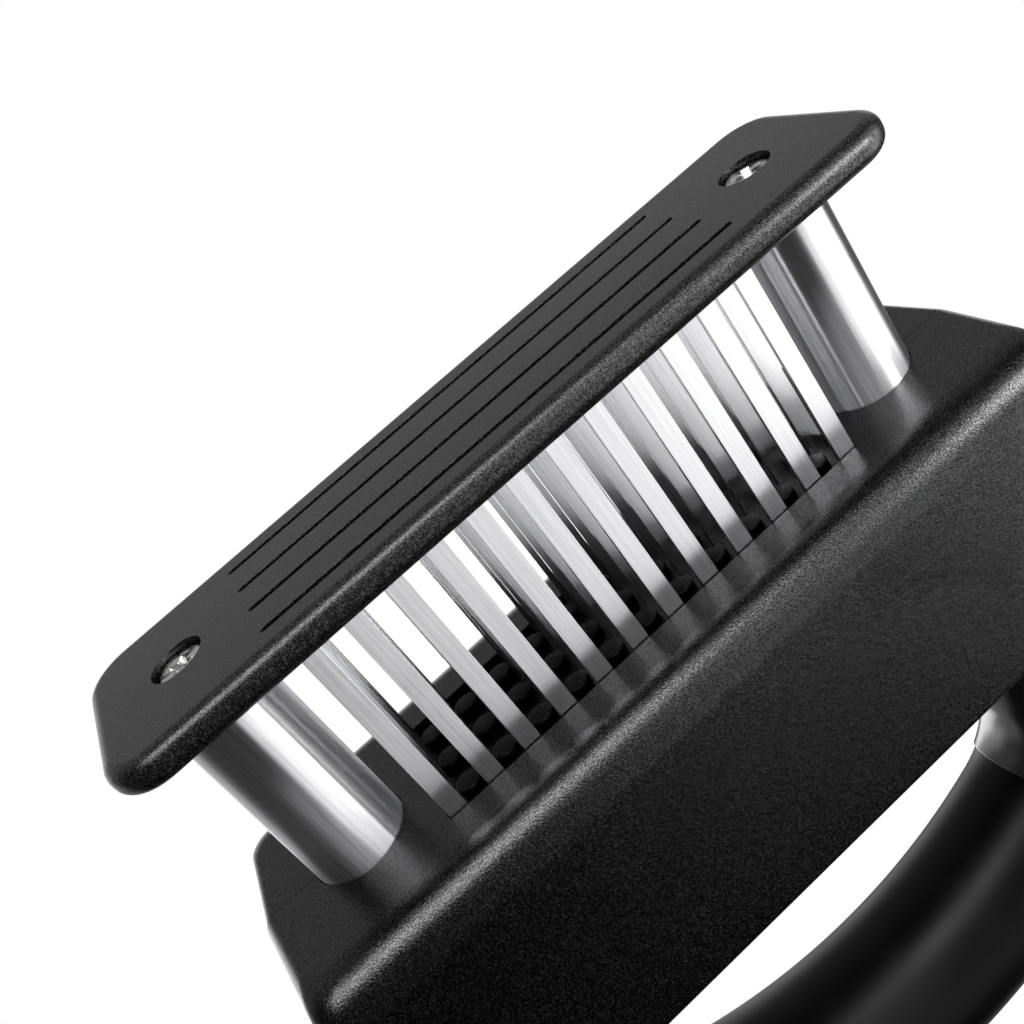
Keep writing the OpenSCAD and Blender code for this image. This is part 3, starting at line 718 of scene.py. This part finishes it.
def blade():
    """One blade: shoulders above, a ground point below, with its long edges broken."""
    half, thick = BLADE_WIDTH / 2, BLADE_THICKNESS / 2
    tip = 0.15 * MM
    levels = [
        (BLADE_TIP_Z, tip, tip * 0.6),
        (BLADE_TIP_Z + BLADE_TIP_LENGTH, half, thick),
        (BLADE_TOP_Z - BLADE_HEAD_HEIGHT, half, thick),
        (BLADE_TOP_Z - BLADE_HEAD_HEIGHT, BLADE_HEAD_WIDTH / 2, thick),
        (BLADE_TOP_Z, BLADE_HEAD_WIDTH / 2, thick),
    ]
    verts = []
    for z, hx, hy in levels:
        verts += [(-hx, -hy, z), (hx, -hy, z), (hx, hy, z), (-hx, hy, z)]
    top = 4 * (len(levels) - 1)
    faces = [(3, 2, 1, 0), *bands(len(levels), 4), (top, top + 1, top + 2, top + 3)]
    return soften(new_object("blade", verts, faces), 0.05 * MM, angle=20)


def blade_rows():
    for row in range(ROWS):
        y = (row - (ROWS - 1) / 2) * ROW_PITCH
        name = f"blade_row_{row + 1}"
        copies = spaced_copies(name + "_ground", blade(), BLADE_STEEL, BLADES_PER_ROW, 1,
                               BLADE_PITCH, 0, (0, y, 0))
        dress(copies, name + "_ground", "housing", "blade_steel", name)


def comb_block():
    """The block that holds the blades: a pad in the pocket, the block on it, a flange and four pillars."""
    flange_z = FLOOR_Z + GAP
    pad_x, pad_y = POCKET_HALF_X - GAP, POCKET_HALF_Y - GAP
    pillar_x, pillar_y = BLOCK_HALF_X + 2.2 * MM, BLOCK_HALF_Y - 1.5 * MM
    flange_x, flange_y = pillar_x + PILLAR_RADIUS, pillar_y + PILLAR_RADIUS
    pad = box("pad", (-pad_x, -pad_y, HOUSE_BOTTOM + POCKET_DEPTH), (pad_x, pad_y, BLOCK_TOP - OVER))
    block = box("block", (-BLOCK_HALF_X, -BLOCK_HALF_Y, flange_z), (BLOCK_HALF_X, BLOCK_HALF_Y, BLOCK_TOP))
    flange = box("flange", (-flange_x, -flange_y, flange_z), (flange_x, flange_y, flange_z + FLANGE_HEIGHT))
    pillar = lathe("pillar", plug_profile(PILLAR_RADIUS, flange_z, comb_top), segments=32)
    pillars = spaced_copies("pillars", pillar, COMB_BLACK_PAINTED_SHADE, 2, 2, 2 * pillar_x, 2 * pillar_y)
    combine(pad, [block, flange, pillars], "UNION")
    half_x, half_y = BLADE_WIDTH / 2 + GAP, BLADE_THICKNESS / 2 + GAP
    slot = box("slot", (-half_x, -half_y, 0), (half_x, half_y, OVER + BLOCK_TOP))
    slots = spaced_copies("slots", slot, COMB_BLACK_PAINTED_SHADE, BLADES_PER_ROW, ROWS, BLADE_PITCH, ROW_PITCH)
    notch = lathe("notch", plug_profile(TOWER_RADIUS + 0.2 * MM, 0, 2 * BLOCK_TOP))
    notches = spaced_copies("notches", notch, COMB_BLACK_PAINTED_SHADE, 2, 1, 2 * COLUMN_X, 0)
    combine(pad, [slots, notches], "DIFFERENCE")
    return soften(pad, 0.06 * MM, segments=1)


def blade_comb():
    dress(comb_block(), "comb_floor", "housing", "comb_plastic", "blade_comb")
    edge, sunk = 0.28 * MM, 0.1 * MM
    profile = [(0, 0)] + arc(POST_RADIUS - edge, edge, edge, 270, 360, 5)
    profile += [(POST_RADIUS, POCKET_DEPTH + sunk), (0, POCKET_DEPTH + sunk)]
    post = lathe("post", profile, segments=40)
    posts = spaced_copies("comb_posts", post, COMB_BLACK_PAINTED_SHADE, BLADES_PER_ROW - 1, ROWS - 1,
                          BLADE_PITCH, ROW_PITCH, (0, 0, HOUSE_BOTTOM))
    dress(posts, "comb_posts", "housing", "comb_plastic", "blade_comb")


# ---------- Housing ----------

def plan_corner(length, width, r, steps):
    """Corner arc of the plan outline on the side of +X and +Y, ends falling back from the middle."""
    cy = width - r
    cx = (length * math.cos(END_SLANT) - r - cy * math.sin(END_SLANT)) / math.cos(END_SLANT)
    return arc(cx, cy, r, math.degrees(END_SLANT), 90, steps)


def crown(y):
    """Height of the crowned top at y."""
    half = HOUSE_HALF_WIDTH - HOUSE_TOP_EDGE
    radius = (half * half + CROWN_RISE * CROWN_RISE) / (2 * CROWN_RISE)
    y = min(abs(y), half)
    return CROWN_Z - radius + math.sqrt(radius * radius - y * y)


def end_reach(z):
    """How far the flared end reaches along X at a height."""
    return HOUSE_HALF_LENGTH - END_FLARE * (HOUSE_EDGE_Z - z) / (HOUSE_EDGE_Z - HOUSE_BOTTOM)


def housing_ring(level):
    """One ring round the housing at a level (inset across, inset along, drop under the crown, height)."""
    inset_y, inset_x, drop, height = level
    length = min(end_reach(height), HOUSE_HALF_LENGTH) - inset_x
    width = HOUSE_HALF_WIDTH - inset_y
    corner = plan_corner(length, width, HOUSE_CORNER, 8)
    near = (length - 0.004 * MM, 0.4 * MM)
    quarter = [near] + corner + [(corner[-1][0] - 1 * MM, width)]
    ring = [(length, 0.0)] + quarter
    ring += [(-x, y) for x, y in reversed(quarter)] + [(-length, 0.0)]
    ring += [(-x, -y) for x, y in quarter] + [(x, -y) for x, y in reversed(quarter)]
    if drop is None:
        return [(x, y, height) for x, y in ring]
    return [(x, y, crown(y) - drop) for x, y in ring]


def housing_levels(wall):
    """(inset across, inset along, drop under the crown or None, height) from the bottom edge to the top."""
    levels = []
    steps = 10
    long_edge, end_edge = HOUSE_LONG_EDGE - wall, HOUSE_END_EDGE - wall
    for i in range(steps + 1):
        a = math.radians(90 * i / steps)
        levels.append((wall + long_edge * (1 - math.sin(a)), wall + end_edge * (1 - math.sin(a)), None,
                       HOUSE_BOTTOM + wall + long_edge * (1 - math.cos(a))))
    for height in (HOUSE_BOTTOM + HOUSE_LONG_EDGE + 0.8 * MM, HOUSE_EDGE_Z - HOUSE_TOP_EDGE - 6 * MM):
        levels.append((wall, wall, None, height))
    top_edge = max(HOUSE_TOP_EDGE - wall, 0.1 * MM)
    steps = 5
    for i in range(steps + 1):
        a = math.radians(90 * i / steps)
        inset = wall + top_edge * (1 - math.cos(a))
        levels.append((inset, inset, wall + top_edge * (1 - math.sin(a)), HOUSE_EDGE_Z - wall))
    return levels


def housing_form(wall=0.0):
    """The housing as one closed solid, or the room inside it when a wall is given."""
    rings = [housing_ring(level) for level in housing_levels(wall)]
    n = len(rings[0])
    verts = [p for ring in rings for p in ring]
    faces = [*bands(len(rings), n), tuple(range(n - 1, -1, -1))]
    # the crowned top: strips from front to back between points that face each other across the middle
    top = (len(rings) - 1) * n
    half = n // 2
    strips = 16
    front = [rings[-1][k] for k in range(half, -1, -1)]
    back = [rings[-1][(half + k) % n] for k in range(half + 1)]
    rows = []
    for k in range(1, half):
        p, q = front[k], back[k]
        row = [top + half - k]
        for j in range(1, strips):
            t = j / strips
            y = p[1] + (q[1] - p[1]) * t
            row.append(len(verts))
            verts.append((p[0] + (q[0] - p[0]) * t, y, crown(y) - wall))
        rows.append(row + [top + half + k])
    faces += [(top + half, a, b) for a, b in zip(rows[0], rows[0][1:])]
    faces += [(top, b, a) for a, b in zip(rows[-1], rows[-1][1:])]
    for lower, upper in zip(rows, rows[1:]):
        faces += [(lower[j], upper[j], upper[j + 1], lower[j + 1]) for j in range(strips)]
    return new_object("form", verts, faces)


def pedestal(side):
    """Round shoulder under a leg, flaring into the crowned top."""
    outer = PEDESTAL_RADIUS + PEDESTAL_FLARE
    base_z, flare_z = HOUSE_EDGE_Z - 8 * MM, SHOULDER_Z - 2 * MM
    edge, inset = 0.6 * MM, 0.02 * MM
    profile = [(0, base_z), (outer, base_z)]
    profile += arc(outer, flare_z, PEDESTAL_FLARE, 270, 180, 10)
    profile += arc(PEDESTAL_RADIUS - edge, SHOULDER_Z - edge, edge, 0, 90, 5) + [(0, SHOULDER_Z)]
    shoulder = lathe("shoulder", profile, (side * LEG_X, 0, 0), 96)
    lower, upper = (housing_ring((inset, inset, None, z)) for z in (HOUSE_BOTTOM, SHOULDER_Z + 5 * MM))
    return combine(shoulder, [lofted("limit", lower, upper)], "INTERSECT")


def cavity():
    """The room inside the housing, less the shoulders, towers, ribs, tenon boxes and bosses in it."""
    room = housing_form(HOUSE_WALL)
    kept = [pedestal(-1), pedestal(1)]
    rib_y, rib_z = BLOCK_HALF_Y + 0.3 * MM, FLOOR_Z + FLANGE_HEIGHT + 0.35 * MM
    tower = plug_profile(TOWER_RADIUS, FLOOR_Z - OVER, CEILING_Z + OVER)
    boss = plug_profile(BOSS_RADIUS, -HOUSE_HALF_WIDTH, HOUSE_HALF_WIDTH)
    for side in (-1, 1):
        kept.append(lathe("tower", tower, (side * COLUMN_X, 0, 0)))
        for place in RIB_PLACES:
            x = side * place * BLOCK_HALF_X
            for front in (-1, 1):
                y0, y1 = sorted((front * rib_y, front * HOUSE_HALF_WIDTH))
                kept.append(box("rib", (x - RIB_THICKNESS / 2, y0, rib_z),
                                (x + RIB_THICKNESS / 2, y1, SHOULDER_Z)))
        x0, x1 = sorted((side * (TENON_X - TENON_WALL), side * (TENON_X + TENON_THICKNESS + RIB_THICKNESS)))
        reach = TENON_HALF_WIDTH + RIB_THICKNESS
        kept.append(box("tenon box", (x0, -reach, TENON_Z - RIB_THICKNESS), (x1, reach, SHOULDER_Z)))
        kept += [turned_along_y("boss", boss, side * x, z) for x, z in SCREW_PLACES]
    return combine(room, kept, "DIFFERENCE")


def housing_body():
    """Both halves in one, hollowed and opened, before they are parted."""
    body = housing_form()
    combine(body, [pedestal(-1), pedestal(1)], "UNION")
    below = HOUSE_BOTTOM - 5 * MM
    beyond = 2 * HOUSE_HALF_WIDTH
    hole = COLUMN_RADIUS + 0.25 * MM
    flange = (bush_high.x - bush_low.x) / 2 + GAP
    flange_top = FLOOR_Z + BUSH_FLANGE
    bore = [(0, below), (hole, below), (hole, FLOOR_Z), (flange, FLOOR_Z), (flange, flange_top),
            (TOWER_BORE, flange_top), (TOWER_BORE, CEILING_Z), (0, CEILING_Z)]
    screw = [(0, SCREW_END_Y), (SCREW_HOLE, SCREW_END_Y), (SCREW_HOLE, COUNTERBORE_Y),
             (COUNTERBORE, COUNTERBORE_Y), (COUNTERBORE, beyond), (0, beyond)]
    hollows = [cavity()]
    tenons = []
    for side in (-1, 1):
        hollows.append(lathe("bore", bore, (side * COLUMN_X, 0, 0), 128))
        hollows += [turned_along_y("screw hole", screw, side * x, z) for x, z in SCREW_PLACES]
        x0, x1 = sorted((side * (TENON_X - GAP), side * (TENON_X + TENON_THICKNESS + GAP)))
        reach = TENON_HALF_WIDTH + GAP
        tenons.append(box("tenon pocket", (x0, -reach, TENON_Z - 0.5 * MM), (x1, reach, LEG_BOTTOM + OVER)))
    outline = rounded_rectangle(POCKET_HALF_X, POCKET_HALF_Y, 0.3 * MM, 3)
    cutters = [join("hollows", hollows), prism("pocket", outline, below, FLOOR_Z + GAP),
               join("tenon pockets", tenons)]
    return combine(body, cutters, "DIFFERENCE")


def skin_depth(point):
    """How deep a point lies under the outer faces of the housing, the shoulders left out."""
    return min(HOUSE_HALF_WIDTH - abs(point.y), point.z - HOUSE_BOTTOM, crown(point.y) - point.z,
               end_reach(point.z) - abs(point.x))


def soften_outside(obj, width):
    """Breaks the sharp edges that lie in the outer skin; the edges inside stay sharp."""
    sharp = math.radians(35)
    skin = 0.8 * MM
    with edited(obj.data) as bm:
        weight = bm.edges.layers.float.new("bevel_weight_edge")
        for edge in bm.edges:
            if edge.is_manifold and edge.calc_face_angle() > sharp:
                if max(skin_depth(vertex.co) for vertex in edge.verts) < skin:
                    edge[weight] = 1.0
    bevel = obj.modifiers.new("broken edges", "BEVEL")
    bevel.width = width
    bevel.segments = 2
    bevel.limit_method = "WEIGHT"
    settle(obj)
    shade_smooth(obj.data)
    obj.data.set_sharp_from_angle(angle=sharp)
    return flatten(obj)


def draw_in_ends(obj):
    """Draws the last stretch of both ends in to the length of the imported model."""
    share = (shell_high.x - END_START) / (HOUSE_HALF_LENGTH - END_START)
    for vertex in obj.data.vertices:
        beyond = abs(vertex.co.x) - END_START
        if beyond > 0:
            vertex.co.x = math.copysign(END_START + beyond * share, vertex.co.x)


def shells():
    """The two halves of the housing, parted at the seam."""
    body = housing_body()
    reach = 100 * MM
    for side, name in ((-1, "front_shell"), (1, "rear_shell")):
        piece = add_object(name, body.data.copy())
        y0, y1 = sorted((side * SEAM_HALF, side * reach))
        combine(piece, [box("half", (-reach, y0, 0), (reach, y1, 2 * reach))], "INTERSECT")
        soften_outside(piece, 0.22 * MM)
        draw_in_ends(piece)
        dress(piece, name + "_moulded", "housing", "black_plastic", name)
    bpy.data.objects.remove(body)


# ---------- Handle ----------

def line_point(angle, drop=0.0):
    """A point (x, z) of the handle's centre line at an angle off its top, lowered by the drop."""
    a = abs(angle)
    if a <= BEND_ANGLE:
        x, z = ARCH_RADIUS * math.sin(a), ARCH_Z + ARCH_RADIUS * math.cos(a)
    else:
        x, z = BEND_X + BEND_RADIUS * math.sin(a), BEND_Z + BEND_RADIUS * math.cos(a)
    return math.copysign(x, angle), z - drop


def handle_skin(name, stations, closed=False):
    """A skin over stations (angle, drop, radius) along the centre line, capped or closed on itself."""
    sides = 96
    verts = []
    for angle, drop, r in stations:
        x, z = line_point(angle, drop)
        for k in range(sides):
            t = 2 * math.pi * k / sides
            out = r * math.cos(t)
            verts.append((x + out * math.sin(angle), r * math.sin(t), z + out * math.cos(angle)))
    n = len(stations)
    faces = bands(n, sides, closed)
    if not closed:
        faces += [tuple(range(sides)), tuple(range(n * sides - 1, (n - 1) * sides - 1, -1))]
    return new_object(name, verts, faces)


def rim_stations(angle, r, edge):
    """Stations of a rounded rim that starts at the angle and turns into the full radius."""
    rim = edge / BEND_RADIUS
    steps = 5
    turns = [math.radians(90 * i / steps) for i in range(steps + 1)]
    return [(angle + rim * (1 - math.cos(a)), 0.0, r - edge * (1 - math.sin(a))) for a in turns]


def grip():
    """The soft sleeve round the middle of the handle."""
    edge = 0.35 * MM
    count = 96
    first = rim_stations(-GRIP_ANGLE, GRIP_RADIUS, edge)
    last = [(-a, drop, r) for a, drop, r in reversed(first)]
    start, end = first[-1][0], last[0][0]
    outside = [(start + (end - start) * i / count, 0.0, GRIP_RADIUS) for i in range(1, count)]
    inside = [(a, drop, CORE_RADIUS + GAP) for a, drop, r in [last[-1], *reversed(outside), first[0]]]
    skin = handle_skin("grip_sleeve", [*first, *outside, *last, *inside], closed=True)
    skin.data.set_sharp_from_angle(angle=math.radians(50))
    return dress(skin, "grip_sleeve", "housing", "soft_grip", "grip")


def handle_legs():
    """The frame of the handle: the core inside the grip, the bends and the legs with their tenons."""
    edge, foot_edge, foot_share = 0.4 * MM, 0.5 * MM, 0.97
    steps = 40
    bend = rim_stations(GRIP_ANGLE, LEG_RADIUS, edge)
    start = bend[-1][0]
    bend += [(start + (math.pi / 2 - start) * i / steps, 0.0, LEG_RADIUS) for i in range(1, steps + 1)]
    drop = BEND_Z - LEG_BOTTOM
    bend += [(math.pi / 2, drop * t, LEG_RADIUS) for t in (0.5, foot_share)]
    bend += [(math.pi / 2, drop, LEG_RADIUS - foot_edge)]
    core = [(GRIP_ANGLE * i / steps, 0.0, CORE_RADIUS) for i in range(-steps, steps + 1)]
    legs = handle_skin("legs", [(-a, d, r) for a, d, r in reversed(bend)] + core + bend)
    hole = plug_profile(SCREW_HOLE + 0.2 * MM, -2 * TENON_HALF_WIDTH, 2 * TENON_HALF_WIDTH)
    hole_x, hole_z = SCREW_PLACES[1]
    tenons, holes = [], []
    for side in (-1, 1):
        x0, x1 = sorted((side * TENON_X, side * (TENON_X + TENON_THICKNESS)))
        tenons.append(box("tenon", (x0, -TENON_HALF_WIDTH, TENON_Z),
                          (x1, TENON_HALF_WIDTH, LEG_BOTTOM + OVER)))
        holes.append(turned_along_y("hole", hole, side * hole_x, hole_z, 24))
    combine(legs, tenons, "UNION")
    combine(legs, holes, "DIFFERENCE")
    legs.data.set_sharp_from_angle(angle=math.radians(50))
    return dress(legs, "handle_legs", "housing", "grey_plastic", "handle_frame")


# ---------- Stage, light and camera ----------

# Soft panels of the studio, which add up: (azimuth, half width, elevation, half height, soft edge) in
# degrees, and strength
PANELS = (
    (0, 180, -30, 62, 16, 0.06),
    (-136, 40, 0, 38, 8, 1.12),
    (-150, 23, 18, 28, 14, 1.6),
    (-76, 40, -63, 11, 12, 7.4),
    (-112, 18, -45, 12, 18, 1.3),
    (-124, 12, -18, 12, 14, 2.4),
    (36, 20, 25, 20, 16, 0.5),
    (75, 16, 28, 12, 12, 3),
    (90, 50, 8, 14, 16, 1.2),
    (90, 75, -50, 48, 20, 0.28),
    (110, 60, 62, 18, 20, 0.45),
)


def studio_light():
    """World: white to the camera, and soft panels round the object for the light on it."""
    world = bpy.data.worlds.new("studio")
    scene.world = world
    world.use_nodes = True
    tree = world.node_tree
    tree.nodes.clear()
    new, link = tree.nodes.new, tree.links.new

    def math_node(operation, a, b=None):
        node = new("ShaderNodeMath")
        node.operation = operation
        for socket, value in zip(node.inputs, (a, b)):
            if isinstance(value, bpy.types.NodeSocket):
                link(value, socket)
            elif value is not None:
                socket.default_value = value
        return node.outputs[0]

    def window(angle, centre, half, soft):
        """1 within half of the centre, falling to 0 over the soft edge; all in degrees."""
        off = math_node("ABSOLUTE", math_node("SUBTRACT", angle, math.radians(centre)))
        edge = new("ShaderNodeMapRange")
        edge.interpolation_type = "SMOOTHSTEP"
        link(off, edge.inputs["Value"])
        for label, value in (("From Min", math.radians(half - soft / 2)),
                             ("From Max", math.radians(half + soft / 2)), ("To Min", 1), ("To Max", 0)):
            edge.inputs[label].default_value = value
        return edge.outputs[0]

    direction = new("ShaderNodeTexCoord").outputs["Generated"]
    total = None
    for azimuth, half_width, elevation, half_height, soft, strength in PANELS:
        turned = new("ShaderNodeVectorRotate")
        turned.rotation_type = "Z_AXIS"
        link(direction, turned.inputs["Vector"])
        turned.inputs["Angle"].default_value = -math.radians(azimuth)
        parts = new("ShaderNodeSeparateXYZ")
        link(turned.outputs[0], parts.inputs[0])
        across = window(math_node("ARCTAN2", parts.outputs[1], parts.outputs[0]), 0, half_width, soft)
        along = window(math_node("ARCSINE", parts.outputs[2]), elevation, half_height, soft)
        panel = math_node("MULTIPLY", math_node("MULTIPLY", across, along), strength)
        total = panel if total is None else math_node("ADD", total, panel)

    lit, seen = new("ShaderNodeBackground"), new("ShaderNodeBackground")
    link(total, lit.inputs["Strength"])
    path, mix = new("ShaderNodeLightPath"), new("ShaderNodeMixShader")
    out = new("ShaderNodeOutputWorld")
    for node in (lit, seen):
        node.inputs["Color"].default_value = (1, 1, 1, 1)
    link(path.outputs["Is Camera Ray"], mix.inputs[0])
    link(lit.outputs[0], mix.inputs[1])
    link(seen.outputs[0], mix.inputs[2])
    link(mix.outputs[0], out.inputs[0])


def floor():
    """A pale floor that is there only for a camera above it, so that the underside gets its light."""
    reach = 3.0
    outline = [(-reach, -reach, 0), (reach, -reach, 0), (reach, reach, 0), (-reach, reach, 0)]
    obj = new_object("floor", outline, [(0, 1, 2, 3)])
    if obj.data.polygons[0].normal.z < 0:
        obj.data.flip_normals()
    obj.data.transform(Matrix.Translation((0, 0, -0.05 * MM)))
    material = bpy.data.materials.new("pale floor")
    material.use_nodes = True
    tree = material.node_tree
    tree.nodes.clear()
    new, link = tree.nodes.new, tree.links.new
    pale = new("ShaderNodeBsdfDiffuse")
    pale.inputs["Color"].default_value = (0.88, 0.88, 0.88, 1)
    clear = new("ShaderNodeBsdfTransparent")
    facing = new("ShaderNodeNewGeometry")
    path = new("ShaderNodeLightPath")
    above = new("ShaderNodeMath")
    above.operation = "SUBTRACT"
    mix = new("ShaderNodeMixShader")
    out = new("ShaderNodeOutputMaterial")
    link(path.outputs["Is Camera Ray"], above.inputs[0])
    link(facing.outputs["Backfacing"], above.inputs[1])
    link(above.outputs[0], mix.inputs[0])
    link(clear.outputs[0], mix.inputs[1])
    link(pale.outputs[0], mix.inputs[2])
    link(mix.outputs[0], out.inputs["Surface"])
    obj.data.materials.append(material)


def overhead_light():
    """A wide soft light from above, for the floor and the upper side."""
    data = bpy.data.lights.new("overhead", "SUN")
    data.energy = 2.6
    data.angle = math.radians(30)
    obj = add_object("overhead", data)
    obj.location = (0, 0, 1)
    obj.visible_glossy = False


def key_light():
    """A small bright softbox beside the camera, level with the foot."""
    data = bpy.data.lights.new("key", "AREA")
    data.shape = "DISK"
    data.size = 0.055
    data.energy = 0.095
    obj = add_object("key", data)
    place, aim = Vector((-0.135, -0.12, -0.012)), Vector((-0.02, 0, 0.03))
    obj.location = place
    obj.rotation_mode = "QUATERNION"
    obj.rotation_quaternion = (aim - place).to_track_quat("-Z", "Y")
    obj.visible_camera = False


def camera():
    """The photograph's view: from below the foot, rolled so that the foot runs up to the right."""
    eye = Vector((27.01, -153.60, -58.74)) * MM
    aim = Vector((4.83, 0.0, 16.72)) * MM
    roll = math.radians(142.08)
    data = bpy.data.cameras.new("camera")
    data.sensor_width = 36
    data.lens = 41.98
    data.clip_start = 1 * MM
    obj = add_object("camera", data)
    obj.location = eye
    obj.rotation_mode = "QUATERNION"
    look = (aim - eye).to_track_quat("-Z", "Y")
    obj.rotation_quaternion = look @ Matrix.Rotation(roll, 4, "Z").to_quaternion()
    scene.camera = obj


camera()
studio_light()
floor()
overhead_light()
key_light()

dress_packed_nodes()
foot_plate()
foot_screws()
columns()
springs()
blade_rows()
blade_comb()
shells()
grip()
handle_legs()

scene.view_settings.view_transform = "Standard"
